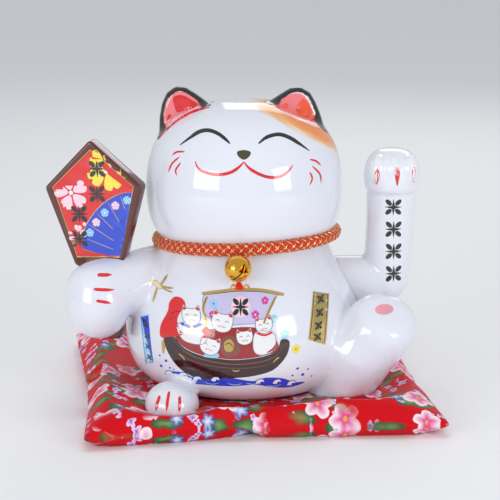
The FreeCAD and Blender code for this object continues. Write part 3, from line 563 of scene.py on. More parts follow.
def make_casting():
    torso = stacked("torso", round_rings(TORSO_RINGS), sides=48)
    head = stacked("head", round_rings(HEAD_RINGS, HEAD_DEPTH, HEAD_X), sides=48)
    reach = (Vector(LEFT_PAW) - Vector(LEFT_SHOULDER)).length
    sleeve_rings = ((-6, 24), (16, 24.5), (36, 24.5), (reach - 16, 25), (reach, 25.5), (reach + 10, 24),
            (reach + 17, 20), (reach + 21.5, 13), (reach + 23, 6))
    sleeve = placed(stacked("sleeve", round_rings(sleeve_rings), sides=40), between(LEFT_SHOULDER, LEFT_PAW))
    palm = ball("palm", (-112, -44, 87), (25, 25.5, 29))
    foot = ball("foot", FOOT, (21, 21.5, 17.5))
    casting = fused("ceramic_body", 1.8, 5, torso, head, sleeve, palm, make_leg(), foot,
            make_ear(LEFT_EAR, -47), make_ear(RIGHT_EAR, 44))
    bpy.ops.mesh.primitive_cube_add(size=0.4, location=(0, 0, SEAT * MM - 0.2))
    ground = bpy.context.object
    hollow_rings = ((12, 56.4), (16.8, 56.4), (16.8, 52), (19, 52), (19.1, 66), (26, 79), (40, 87), (60, 89),
            (80, 86),
            (98, 76), (112, 64), (122, 56), (148, 56), (160, 64), (196, 62), (220, 45), (230, 26))
    hollow = carve(stacked("hollow", round_rings(hollow_rings), sides=64, rounded=0),
            peg("boss", (80, AXLE.y, AXLE.z), 25, 32, X_AXIS))
    tablet_room = placed(slab("tablet_room", TABLET_OUTLINE, -7.7, 7.7), TABLET_PLACE)
    carve(casting, ground, hollow, tablet_room, peg("socket", (90, AXLE.y, AXLE.z), 20.2, 40, X_AXIS, 96),
          peg("bore", (60, AXLE.y, AXLE.z), 6, 40, X_AXIS, 32))
    smooth_shade(casting, 50)
    return piece(casting, "figurine", glaze_finish(), ["ceramic_casting"])


# ---- painted face, ears and paws -----------------------------------------------------------------

FACE_PAINT = [
    ("black", 0, stroke(((-48, 211), (-40, 217), (-33, 221.5), (-26, 223), (-19, 221.5), (-13, 218),
        (-9.5, 215)), 2.5, 0.2, 0.35)),
    ("black", 0, stroke(((12, 215), (18, 219), (27, 220.5), (35, 218), (43, 213), (51, 207)), 2.5, 0.35,
        0.15)),
    ("olive", 0, loop(((-4, 209.5), (1, 210.8), (6, 209.5), (5, 206.2), (1, 204), (-3, 206.2)))),
    ("red", 0, stroke(((-36, 201.5), (-33, 196), (-26, 193.5), (-18, 192.8), (-9, 194.8), (-3, 198.5),
        (1, 202.5)), 2.3, 0.2, 0.3)),
    ("red", 0, stroke(((1, 202.5), (5, 198), (12, 193.8), (20, 191), (28, 191), (34, 194), (38, 198.5)),
        2.3, 0.3, 0.2)),
] + [("red", 0, stroke(whisker, 1.3, 0.3, 0.1)) for whisker in (
    ((-44, 207), (-50, 206), (-54, 203)), ((-48, 203), (-54, 197), (-57, 190)),
    ((-47, 199), (-51, 193), (-50, 189)),
    ((51, 201), (56, 199), (60, 195)), ((53, 196), (59, 189), (60, 182)), ((51, 192), (53, 187), (51, 182)))]

EAR_PAINT = [
    ("pink", 0, loop(((-65, 211), (-64.8, 222), (-62.5, 236), (-58, 244), (-50, 248), (-42, 246.5),
        (-33, 240.5), (-27, 236), (-33, 235), (-42, 231.5), (-52, 226), (-60, 218.5)))),
    ("red", 1, loop(((-54.3, 241.6), (-50, 243.8), (-45.2, 243.1), (-40.4, 240.2), (-35.1, 236.8),
        (-37.5, 234.4), (-44.2, 232), (-50.9, 230.1), (-53.3, 234.4)))),
    ("red", 1, loop(((-59.6, 224.4), (-57.8, 228.7), (-55.9, 227.7), (-57.2, 225.3)))),
    ("light_pink", 2, stroke(((-63.8, 216), (-62, 229.7), (-59.2, 240), (-53.8, 246), (-46.1, 247),
        (-39.4, 243.6), (-31.8, 238)), 1.3)),
    ("light_pink", 2, stroke(((-63, 216.5), (-54, 225), (-43, 231), (-32, 236)), 1.0)),
    ("red", 3, stroke(((-66.3, 209.5), (-60.5, 216.6), (-52, 224.4), (-42.3, 230.4), (-33, 234),
        (-25.5, 235.6)), 1.1, 0.6, 0.3)),
    ("pink", 0, loop(((23, 237.3), (31.3, 243.4), (37, 247), (43, 248.4), (48, 247.4), (52.4, 242.6),
        (56, 235.4), (59.4, 226.8), (61.5, 219), (51.4, 224.5), (41.8, 229.2), (32.3, 233.6)))),
    ("orange", 1, loop(((41.3, 232.1), (44.7, 239.2), (47.1, 240.9), (51.4, 236.8), (55.6, 224.4),
        (48.5, 227.7)))),
    ("orange", 1, loop(((29.6, 235.6), (33.2, 237.6), (35.3, 236.8), (35.8, 234.2)))),
    ("light_pink", 2, stroke(((24, 237.2), (36, 244.4), (44, 245.6), (50, 241.8), (54, 234.8), (57, 226.6),
        (60, 220)), 1.3)),
    ("light_pink", 2, stroke(((24, 236), (42, 229), (60, 219.4)), 1.0)),
]

RIM_LINES = (((-65, 205), (-66.8, 214), (-66.2, 226), (-64.2, 237), (-60, 245.5), (-53, 250.5), (-45, 250.5),
        (-36, 245), (-27, 238.2), (-20, 234)),
        ((14, 235), (19, 238), (28, 244), (37, 249.5), (45, 250.5), (52.5, 246.5), (57.5, 238), (61.5, 228),
        (64.5, 218), (66, 211)))
RIM_SECTION = ((-1.9, -12), (-1.4, -12), (-0.8, -11), (0, -9.6), (0.6, -8), (1, -6.4), (1.2, -4.6),
        (1.2, -2.6),
        (1.2, -0.6), (1.2, 1.4))


def ear_rims(casting):
    """Black brushed round the edge of each ear, thin where the brush lands and lifts."""
    for side, line in zip(("left", "right"), RIM_LINES):
        run = curve_through(line, False, 8)
        verts, faces = [], []
        across = len(RIM_SECTION)
        for index, spot in enumerate(run):
            out = sideways(run, index, False)
            share = index / (len(run) - 1)
            wide = min(1, 0.25 + 6 * share, 0.45 + 5 * (1 - share))
            for shift, depth in RIM_SECTION:
                shift = 1.2 + (shift - 1.2) * wide
                verts.append(((spot.x + out.x * shift) * MM, depth * MM, (spot.y + out.y * shift) * MM))
            if index:
                low = (index - 1) * across
                faces += [(low + step, low + step + across, low + step + across + 1, low + step + 1)
                        for step in range(across - 1)]
        mesh = bpy.data.meshes.new(side + "_ear_rim")
        mesh.from_pydata(verts, [], faces)
        rim = bpy.data.objects.new(side + "_ear_rim", mesh)
        bpy.context.collection.objects.link(rim)
        with editing(rim):
            bpy.ops.mesh.select_all(action="SELECT")
            bpy.ops.mesh.normals_make_consistent(inside=False)
        modify(rim, "SHRINKWRAP", target=casting, wrap_method="NEAREST_SURFACEPOINT", offset=0.3 * MM)
        piece(smooth_shade(rim, 60), "figurine", INKS["black"])


TOE_PAINT = [("red", 0, stroke(line, 2.3, 0.5, 0.05)) for line in (
    ((-111.5, 112.5), (-107, 112.2), (-100.5, 111.8)), ((-114, 103), (-108, 102.4), (-98, 101.4)),
    ((-112, 94.6), (-107, 93.6), (-100.5, 92)), ((-62.5, 29), (-64.4, 24), (-65.5, 18)),
    ((-55.5, 32), (-56.6, 26), (-57.4, 19)), ((-47.6, 29), (-47.4, 24), (-47.8, 18)))]

SOLE_PAINT = [("pad", 0, oval(-2, 2, 8, 5.4, 10, 28))]

# ---- printed belly -------------------------------------------------------------------------------

SAIL = ((-29, 101), (-17, 103), (-4, 104.6), (14, 104), (26, 101), (22, 96), (19, 90), (16, 83), (1, 82),
        (-12, 81.4),
        (-26, 86), (-30, 93))
HULL = ((-61, 70), (-57.5, 72.5), (-53, 69), (-45, 61.5), (-34, 57.5), (-22, 56), (-8, 55), (6, 56), (18, 58),
        (26, 61.5), (29.5, 69.5), (35.5, 67.5), (34, 58), (28, 50), (21, 45), (7, 41.6), (-8, 40), (-22, 39),
        (-31, 36.5),
        (-38, 38.5), (-47, 43), (-54, 50), (-59.5, 60))
HOLD = ((-52, 69), (-46, 73), (-38, 76), (-20, 78), (4, 80), (20, 76), (27, 66), (26, 61), (18, 58.4),
        (6, 56.4),
        (-8, 55.4), (-22, 56.4), (-34, 58), (-45, 62))
FIGUREHEAD = ((-63, 66), (-63, 75), (-57.5, 86), (-56.4, 92), (-52, 96.8), (-46, 96.4), (-43.6, 92),
        (-47.4, 87.4),
        (-50, 81), (-48, 74.5), (-45, 71.5), (-55, 68))
WAVES = ((-64, 31), (-57, 38.5), (-48, 41), (-38, 38), (-26, 40), (-14, 41), (-2, 39), (9, 37.4), (18, 40),
        (31, 38),
        (39, 33.4), (48, 31.4), (36, 28.6), (22, 31), (9, 34), (-8, 32.6), (-26, 32.4), (-39, 31.6),
        (-53, 30.6))


CRESTS = ((-56, 36.4), (-45, 37.6), (-34, 36), (-20, 37), (14, 35.6), (27, 34.4), (38, 31.6))
LEFT_BODY = ((-50, 78), (-40, 81), (-30, 80), (-26, 74), (-30, 66), (-42, 66), (-48, 70))
RIGHT_BODY = ((9, 75), (16, 77), (24, 74), (25, 66), (21, 60), (12, 59), (8, 64))
SWALLOW = ((-71, 102.6), (-68, 103.6), (-64, 102), (-62.6, 99.8), (-66.4, 99.4))


def small_cat(x, z, size, turn=0, ears="red"):
    """A little white cat's head with closed eyes, two ears and a smile."""
    lean = math.radians(turn)

    def spot(across, up):
        return (x + size * (across * math.cos(lean) - up * math.sin(lean)),
                z + size * (across * math.sin(lean) + up * math.cos(lean)))

    face = [spot(*at) for at in ((-1, 0.1), (-0.95, 0.62), (-0.8, 1.12), (-0.42, 0.82), (0.42, 0.82),
            (0.8, 1.12), (0.95, 0.62), (1, 0.1), (0.8, -0.5), (0.3, -0.8), (-0.3, -0.8), (-0.8, -0.5))]
    drawn = [("white", 4, loop(face, 4)), ("grey", 5, band(face, 0.45))]
    for side in (-1, 1):
        drawn.append((ears, 5, loop([spot(side * across, up) for across,
                up in ((0.78, 0.98), (0.86, 0.62), (0.5, 0.74))], 3)))
        drawn.append(("grey", 5, stroke([spot(side * across, up) for across, up in
                ((0.66, 0.08), (0.44, 0.24), (0.2, 0.08))], 0.5)))
        drawn.append(("red", 5, stroke([spot(side * across, up) for across, up in
                ((0, -0.2), (0.2, -0.36), (0.42, -0.24))], 0.45)))
    return drawn


def rope(points):
    """Two turned gold strands down one side of the sail."""
    return [("gold", 4, stroke(points, 1.9, 0.6, 0.6)), ("brown", 5, stroke(points, 0.35, 0.6, 0.6))]


BELLY_PAINT = (
    [("lavender", 0, loop(SAIL)), ("grey", 1, band(SAIL, 0.4)),
     ("blue", 0, loop(WAVES)), ("hold", 1, loop(HOLD)), ("brown", 2, loop(HULL)),
     ("red", 3, loop(FIGUREHEAD)), ("dark_red", 4, stroke(((-56, 84), (-51, 87), (-47, 87.4)), 0.8)),
     ("dark_red", 4, stroke(((-57, 79), (-54, 82), (-50, 82)), 0.6)),
     ("gold", 2, stroke(((-31, 101.6), (-17, 104), (-3, 105.8), (14, 105), (31.5, 101)), 2.4, 0.7, 0.7)),
     ("brown", 3, stroke(((-30, 100.8), (-17, 103), (-3, 104.7), (14, 104), (30, 100.2)), 0.4)),
     ("rim", 3, stroke(((-57, 71), (-50, 63.6), (-42, 57.6), (-30, 54), (-8, 51.6), (14, 53.4), (26, 58),
        (32, 67)), 0.8)),
     ("rim", 3, stroke(((-58, 66), (-50, 57.6), (-40, 52.4), (-24, 49.4), (-4, 48.4), (16, 50),
        (29, 56)), 0.5)),
     ("gold", 3, loop(((-62.4, 62), (-60.8, 64), (-59.6, 60), (-60.4, 54), (-61.8, 54.6)))),
     ("red", 3, loop(((-6, 106.5), (-3, 111.5), (1, 107), (-1, 105.6)))),
     ("gold", 4, stroke(((-9.5, 106), (-7, 109), (-4.6, 106.4)), 1.2)),
     ("gold", 4, stroke(((0, 106.4), (3, 109), (6, 106)), 1.2)),
     ("sky", 0, straight(((-80, 76), (-73, 80), (-69, 43), (-76, 39)))),
     ("blue", 1, band(((-79.4, 75.4), (-73.4, 78.8), (-69.6, 43.8), (-75.6, 40.2)), 0.4, False)),
     ("white", 4, stroke(((17, 73), (24, 72), (25, 64), (20, 58.6), (12, 59), (9.6, 66), (10, 73),
        (17, 76)), 0.1)), ("white", 3, loop(LEFT_BODY)), ("grey", 4, band(LEFT_BODY, 0.45)),
     ("blue", 5, stroke(((-47, 79.4), (-39, 77.6), (-31.5, 80.6)), 2.0, 0.8, 0.8)),
     ("gold", 6, oval(-38.6, 77.4, 1.5)), ("white", 3, loop(RIGHT_BODY)),
     ("grey", 4, band(RIGHT_BODY, 0.45)),
     ("red", 5, stroke(((10.5, 75.6), (16.6, 73.6), (22.6, 75.6)), 1.5, 0.8, 0.8)),
     ("red", 4, straight(((-31.5, 76), (-27.6, 79.6), (-22.4, 74.6), (-26.6, 70.6)))),
     ("rim", 5, band(((-31, 76), (-27.6, 79), (-22.9, 74.6), (-26.6, 71.2)), 0.5, False)),
     ("rim", 3, loop(((-16, 70), (-11, 73.6), (-5, 72), (-1.6, 65), (-4, 59), (-11, 57), (-16, 61)))),
     ("gold", 4, loop(((-14, 68), (-9.6, 71), (-6.4, 67), (-8, 62), (-13, 62)))),
     ("brown", 5, stroke(((-14, 66), (-10, 68), (-6, 64)), 0.6)),
     ("sky", 3, loop(((-30, 56.6), (-24, 61), (-18, 59), (-20, 56)))),
     ("hold", 4, stroke(((18, 60), (23, 63), (26.4, 68)), 1.4))]
    + small_cat(-39, 85, 7.2, 4) + small_cat(-15.5, 82.5, 8, -8) + small_cat(-25, 64.5, 7.6, -14)
    + small_cat(1.6, 72, 6.2, 6) + small_cat(16.2, 80.4, 6.4, 6)
    + rope(((-27, 100), (-30, 92), (-27.6, 84), (-29, 78))) + rope(((25, 100), (20.6, 92), (17.6, 86),
        (16, 82)))
    + blossom(32, 73.5, 3.6, "sky", "yellow", 4) + blossom(40.5, 61, 3.4, "yellow", "orange", 4)
    + blossom(23.6, 85, 3.2, "sky", "yellow", 4) + blossom(-22, 95.6, 3.0, "sky", "blue", 3)
    + blossom(17, 98, 2.8, "magenta", "yellow", 3) + blossom(9.6, 88.6, 3.0, "magenta", "white", 3)
    + blossom(-23, 88, 2.6, "magenta", "white", 3)
    + knot_mark(-1.5, 94, 13, rim="light_pink", layer=3)
    + [("gold", 3, stroke(line, 1.1)) for line in (((-49, 56), (-46, 54), (-44, 51.5)),
        ((-8, 47), (-5, 46), (-2, 47)), ((23, 52), (26, 55), (28, 56)))]
    + [("gold", 1, stroke(line, width, 0.2, 0.05)) for line, width in (
        (((-64.4, 101), (-61.4, 105), (-58.2, 110)), 1.8), (((-66, 100.4), (-68, 94.6), (-70, 88.6)), 1.8),
        (((-64, 101.4), (-58.6, 101.4), (-53, 102.2)), 1.5), (((-64, 101), (-58, 99.6), (-53.4, 99.4)), 1.2))]
    + [("light_gold", 2, loop(SWALLOW)), ("gold", 3, band(SWALLOW, 0.4)),
       ("gold", 3, loop(((-73, 103.8), (-70.6, 103.8), (-70.2, 102.6))))]
    + [("blue", 1, oval(x, z, size)) for x, z, size in (
        (-64, 51, 0.8), (-59, 48, 1.1), (-63, 42.4, 1.2), (-56, 42.6, 0.8), (-53, 42, 0.6), (42, 45, 1),
        (46, 39, 1.2), (50, 43, 0.7), (38, 39.6, 0.8), (53, 36, 0.7))]
    + [("white", 3, loop(((x - 4, z), (x - 2.4, z + 2.6), (x + 1, z + 3), (x + 2.4, z + 0.8), (x, z + 1.2),
        (x - 1, z - 0.6)))) for x, z in CRESTS]
    + [("blue", 4, stroke(((x - 4.4, z - 0.2), (x - 2.4, z + 3), (x + 1.4, z + 3.4), (x + 2.8, z + 0.8)),
        0.6)) for x, z in CRESTS]
    + [("sky", 3, stroke(((x - 6, z), (x, z - 1.4), (x + 6, z)), 0.7)) for x, z in (
        (-40, 34.4), (-24, 35), (-6, 35.4), (8, 36), (24, 33), (-50, 33.4))]
    + [shape for share in range(4) for shape in knot_mark(-75.4 + share * 0.95, 71.4 - share * 8.2, 4.6,
        layer=3)]
)


def lerp(first, second, share):
    return tuple(a + (b - a) * share for a, b in zip(first, second))


PLAQUE = ((54, 100), (67, 95.6), (64, 59.6), (50, 66.6))
PLAQUE_PAINT = (
    [("gold", 0, straight(PLAQUE)),
     ("brown", 1, band(((55, 98.4), (65.8, 94.8), (62.8, 62), (51.4, 67.8)), 0.5, False)),
     ("foil", 1, straight(((56.4, 96.6), (64.6, 93.8), (61.8, 64.4), (53, 68.8))))]
    + [shape for share in (0.12, 0.38, 0.64, 0.88)
       for shape in knot_mark(*lerp(lerp(PLAQUE[0], PLAQUE[1], 0.5), lerp(PLAQUE[3], PLAQUE[2], 0.5), share),
        6.2, layer=3)]
)


# ---- waving arm ----------------------------------------------------------------------------------

FOREARM_RINGS = ((86, 18.6, 18.6, 113.8, 8), (100, 18.8, 18.8, 115.6, 8), (120, 18.9, 18.8, 117, 8),
        (145, 19.2, 19.2, 118, 7), (162, 19.8, 20, 118.2, 6), (178, 20.4, 20.6, 118.2, 5))
PAW_RINGS = ((165, 17, 18, 118.2, 4), (167.4, 21.6, 22.6, 118.2, 3.4), (176, 22.8, 25, 118.2, 3),
        (186, 22, 24.4, 118.2, 2.4), (194, 18.6, 20.6, 118, 2), (199, 12.4, 13.6, 118, 2),
        (200.6, 5, 6, 118, 2))
CLAW_PAINT = [("red", 0, loop(spots)) for spots in (
    ((104.6, 188.4), (106.6, 184.4), (106, 179), (104.7, 174.6), (103.2, 179), (102.8, 184.4)),
    ((120, 189.8), (122.4, 185), (121.8, 179.6), (120.5, 174.2), (119, 179.6), (118.2, 185)),
    ((133, 190), (134.8, 186), (134.4, 181), (133.4, 176.4), (132.2, 181), (131.6, 186)))]
ARM_MARKS = [shape for x, z in ((118.5, 155.8), (119.1, 137.6), (119.6, 119.4), (119.9, 101.1))
        for shape in knot_mark(x, z, 14, layer=1)]


def make_arm():
    upper = placed(stacked("upper", round_rings([(level, 19.4) for level in (66, 74, 84, 96, 108, 114)]),
            sides=40),
            Matrix.Translation(AXLE * MM) @ Matrix.Rotation(math.pi / 2, 4, "Y"))
    elbow = ball("elbow", (113.4, 8, 94), (20, 19.8, 20))
    forearm = stacked("forearm", FOREARM_RINGS, sides=40)
    paw = stacked("paw", PAW_RINGS, sides=40)
    toes = [ball("toe", (x, -13, 186), (7.4, 9.6, 11.6)) for x in (106, 118.5, 131)]
    arm = fused("arm", 1.5, 3, upper, elbow, forearm, paw, *toes)
    for name, side, node in (("arm_front_half", 1, "arm_front_shell"),
            ("arm_rear_half", -1, "arm_rear_shell")):
        half = copied(arm, name)
        with editing(half):
            bpy.ops.mesh.bisect(plane_co=(0.0715, 0, 0), plane_no=(-1, 0, 0), clear_outer=True)
            bpy.ops.mesh.select_all(action="SELECT")
            bpy.ops.mesh.bisect(plane_co=(0, 0.008 - side * 0.00004, 0), plane_no=(0, side, 0),
                    clear_outer=True)
        modify(half, "SOLIDIFY", thickness=1.8 * MM, offset=-1)
        smooth_shade(half, 35)
        piece(half, "waving_arm", FINISHES["arm_white"], [node])
        if side == 1:
            printed("claw_paint", "waving_arm", half, CLAW_PAINT)
            printed("arm_marks", "waving_arm", half, ARM_MARKS)
    bpy.data.objects.remove(arm)
    plate = peg("arm_end_plate", (72.4, AXLE.y, AXLE.z), 17.8, 1.8, X_AXIS)
    carve(plate, peg("shaft_hole", (72.4, AXLE.y, AXLE.z), 2, 6, X_AXIS, 24))
    smooth_shade(plate, 35)
    piece(plate, "waving_arm", FINISHES["arm_white"])


# ---- wish tablet ---------------------------------------------------------------------------------

FAN_EDGE = ((31.5, 117.8), (21.9, 116.5), (10.5, 111.2), (0.3, 102.8), (-8, 92.1), (-11.6, 83.6),
        (-15.3, 74.2),
        (-2, 69.8), (10.8, 67.4), (18.4, 67.6))
TABLET_PAINT = (
    [("red", 0, straight(((33.4, 122.4), (0, 151.6), (-33.4, 122.4), (-17.6, 66.2), (17.6, 66.2)))),
     ("gold", 3, band(((33.2, 122.4), (0, 151.4), (-33.2, 122.4), (-17.4, 66.4), (17.4, 66.4)), 0.7,
        False)), ("blue", 1, straight(FAN_EDGE + ((24, 86), (30.6, 113)))),
     ("gold", 2, stroke(FAN_EDGE[:8], 0.6)), ("yellow", 1, petals(12.6, 136.5, 17.5, 5, -74, 0.4)),
     ("white", 2, petals(12.6, 136.5, 4.4, 5, -38, 0.3)),
     ("light_pink", 1, petals(-18.6, 117.5, 13.8, 5, 100, 0.36)), ("white", 2, oval(-18.6, 117.5, 1.8)),
     ("light_pink", 1, petals(-16, 84.4, 7.6, 5, 80, 0.4)), ("light_pink", 1, oval(-9.6, 92.6, 1.5))]
    + [("gold", 3, stroke(rib, 0.5)) for rib in (((21.7, 115.4), (26.6, 97.1)), ((11.1, 110), (24, 85.8)),
        ((1.2, 101.6), (22.7, 79.4)), ((-6.8, 93), (20.9, 74.4)), ((-10, 81.4), (16.9, 70.8)))]
    + [shape for (x, z), colour in zip(((27, 111.4), (17.2, 107.2), (8, 101.6), (0.4, 94), (-5.4, 85.8)),
        ("sky", "light_pink", "sky", "light_pink", "sky"))
       for shape in blossom(x, z, 3.4, colour, "white", 4)]
    + [shape for x, z in ((4.4, 136.2), (2.8, 116.5), (-13.2, 100.7), (-14.4, 81))
       for shape in knot_mark(x, z, 14, rim=None, layer=6)]
)


def make_tablet():
    board = slab("tablet_board", TABLET_OUTLINE, -7.5, 7.5)
    with editing(board):
        bpy.ops.mesh.select_all(action="DESELECT")
        bpy.ops.object.mode_set(mode="OBJECT")
        for face in board.data.polygons:
            face.select = face.normal.y < -0.9
        bpy.ops.object.mode_set(mode="EDIT")
        bpy.ops.mesh.inset(thickness=6.2 * MM, use_even_offset=True)
        bpy.ops.transform.translate(value=(0, 2 * MM, 0))
    modify(board, "BEVEL", width=3.0 * MM, segments=5, limit_method="ANGLE", angle_limit=math.radians(40))
    smooth_shade(board, 30)
    placed(board, TABLET_PLACE)
    piece(board, "figurine", FINISHES["tablet_glaze"], ["wish_tablet"])
    place = TABLET_PLACE @ Matrix.Translation((0, -0.05, 0)) @ Matrix.Rotation(math.pi / 2, 4, "X")
    printed("tablet_print", "figurine", board, TABLET_PAINT, place, grid=12)


# ---- collar, knot and bell -----------------------------------------------------------------------

COLLAR_PLACE = (Matrix.Translation(Vector((2.8, 0, 131.2)) * MM) @ Matrix.Rotation(math.radians(-2.7), 4,
        "Y") @
        Matrix.Rotation(math.radians(-3.25), 4, "X"))
COLLAR_RADIUS = 70.3
CORD_RADIUS = 5.35
TWISTS = 17
STRANDS = 4
STEPS_PER_TWIST = 14


def strand(name, thickness, reach, phase, way, weave, sides=2):
    """One strand that winds round the cord's line, over and under those that wind the other way."""
    line = bpy.data.curves.new(name, "CURVE")
    line.dimensions = "3D"
    line.bevel_depth = thickness * MM
    line.bevel_resolution = sides
    spline = line.splines.new("POLY")
    count = TWISTS * STEPS_PER_TWIST
    spline.points.add(count - 1)
    spline.use_cyclic_u = True
    for index, point in enumerate(spline.points):
        angle = 2 * math.pi * index / count
        twist = way * TWISTS * angle + phase
        out = reach + weave * way * math.cos(4 * twist)
        radius = COLLAR_RADIUS + out * math.cos(twist)
        point.co = (*(COLLAR_PLACE @ Vector((radius * math.cos(angle) * MM, radius * math.sin(angle) * MM,
                out * math.sin(twist) * MM))), 1)
    cord = bpy.data.objects.new(name, line)
    bpy.context.collection.objects.link(cord)
    pick(cord)
    bpy.ops.object.convert(target="MESH")
    return bpy.context.object


def make_collar():
    bpy.ops.mesh.primitive_torus_add(major_radius=COLLAR_RADIUS * MM, minor_radius=3.2 * MM,
            major_segments=160,
            minor_segments=12)
    core = placed(bpy.context.object, COLLAR_PLACE)
    core.data.materials.append(FINISHES["cord_core"])
    red, gold = [], []
    for index in range(STRANDS):
        phase = 2 * math.pi * index / STRANDS
        for way in (1, -1):
            red.append(strand("red_strand", 1.62, 3.35, phase, way, 0.42))
            gold.append(strand("gold_thread", 0.55, 4.35, phase + math.pi / STRANDS, way, 0.5, 1))
    for cord in red:
        cord.data.materials.append(FINISHES["red_cord"])
    for cord in gold:
        cord.data.materials.append(FINISHES["gold_thread"])
    collar = smooth_shade(joined("collar_braid", core, *red, *gold), 60)
    piece(collar, "figurine", None, ["collar_cord"])
    make_knot()


def make_knot():
    """A round knot of three crossing wraps with two hanging ends, behind the neck."""
    middle = COLLAR_PLACE @ Vector((0, (COLLAR_RADIUS + CORD_RADIUS * 1.6) * MM, 0))
    parts = []
    for turn in ((90, 0, 35), (90, 0, -35), (0, 20, 0)):
        bpy.ops.mesh.primitive_torus_add(major_radius=5.2 * MM, minor_radius=2.5 * MM, major_segments=40,
                minor_segments=14,
                location=middle, rotation=[math.radians(part) for part in turn])
        parts.append(settle(bpy.context.object))
    for side in (-1, 1):
        root = middle / MM + Vector((side * 3, 2, -3))
        rings = [(level, radius, radius, side * bow, 0) for level, radius, bow in (
            (0, 2.4, 0), (6, 2.6, 1), (13, 2.6, 1.4), (20, 2.6, 1), (21.5, 3, 0.8), (23.5, 3, 0.6),
            (24.5, 2.2, 0.4), (27.5, 2.8, 0.2), (28.5, 1, 0))]
        parts.append(placed(stacked("tail", rings, sides=16),
                between(root, root + Vector((side * 8, 11, -26)))))
    knot = smooth_shade(joined("collar_knot_wraps", *parts), 60)
    piece(knot, "figurine", FINISHES["red_cord"], ["collar_knot"])


BELL_CENTRE = Vector((-3.5, -82.5, 123.4))
BELL_UP = Vector((0.61, 0.184, 0.768)).normalized()
BELL_EYE = Vector((0.38, -0.92, 0.03))
BELL_RADIUS = 10.3


def make_bell():
    """A pressed sheet bell: a slit round its lower half with a three-cornered hole at each end."""
    eye = (BELL_EYE - BELL_UP * BELL_EYE.dot(BELL_UP)).normalized()
    place = Matrix.Translation(BELL_CENTRE * MM) @ Matrix((eye, BELL_UP.cross(eye),
            BELL_UP)).transposed().to_4x4()
    bell = ball("bell_body", (0, 0, 0), (BELL_RADIUS,) * 3, 96)
    bpy.ops.mesh.primitive_torus_add(major_radius=BELL_RADIUS * MM, minor_radius=0.38 * MM, major_segments=96,
            minor_segments=10)
    seam = bpy.context.object
    modify(bell, "SOLIDIFY", thickness=0.6 * MM, offset=-1)
    bpy.ops.mesh.primitive_cube_add(size=1, location=(0, 0, -0.006), scale=(0.03, 0.0011, 0.012))
    slit = settle(bpy.context.object)
    holes = []
    for side in (-1, 1):
        bpy.ops.mesh.primitive_cylinder_add(vertices=3, radius=4.9 * MM, depth=12 * MM,
                location=(side * BELL_RADIUS * MM, 0, 0.0022),
                rotation=(0, math.pi / 2, 0))
        hole = settle(bpy.context.object)
        modify(hole, "BEVEL", width=0.9 * MM, segments=4, limit_method="ANGLE", angle_limit=math.radians(60))
        holes.append(hole)
    carve(seam, *[copied(hole, "gap") for hole in holes])
    carve(bell, slit, *holes)
    modify(bell, "BEVEL", width=0.09 * MM, segments=2, limit_method="ANGLE", angle_limit=math.radians(50))
    whole = joined("bell_body", bell, seam)
    smooth_shade(placed(whole, place), 35)
    piece(whole, "bell", FINISHES["bell_gold"], ["bell_shell"])


# ---- cushion -------------------------------------------------------------------------------------

CUSHION_SIDE = 281
CUSHION_PLACE = Matrix.Translation(Vector((3.5, 10, 0)) * MM) @ Matrix.Rotation(math.radians(6.8), 4, "Z")
PILLOW_START = 9
PILLOW_CAP = 24
PULL_IN = 0.5
SLUMP = 0.4
SIM_FRAMES = 22
HELD_RADIUS = 64
FLAT_RADIUS = 70
SHEET_GAP = 0.6
WADDING_PRESSURE = 5
CLOTH_STIFFNESS = 25
CLOTH_CELLS = 64


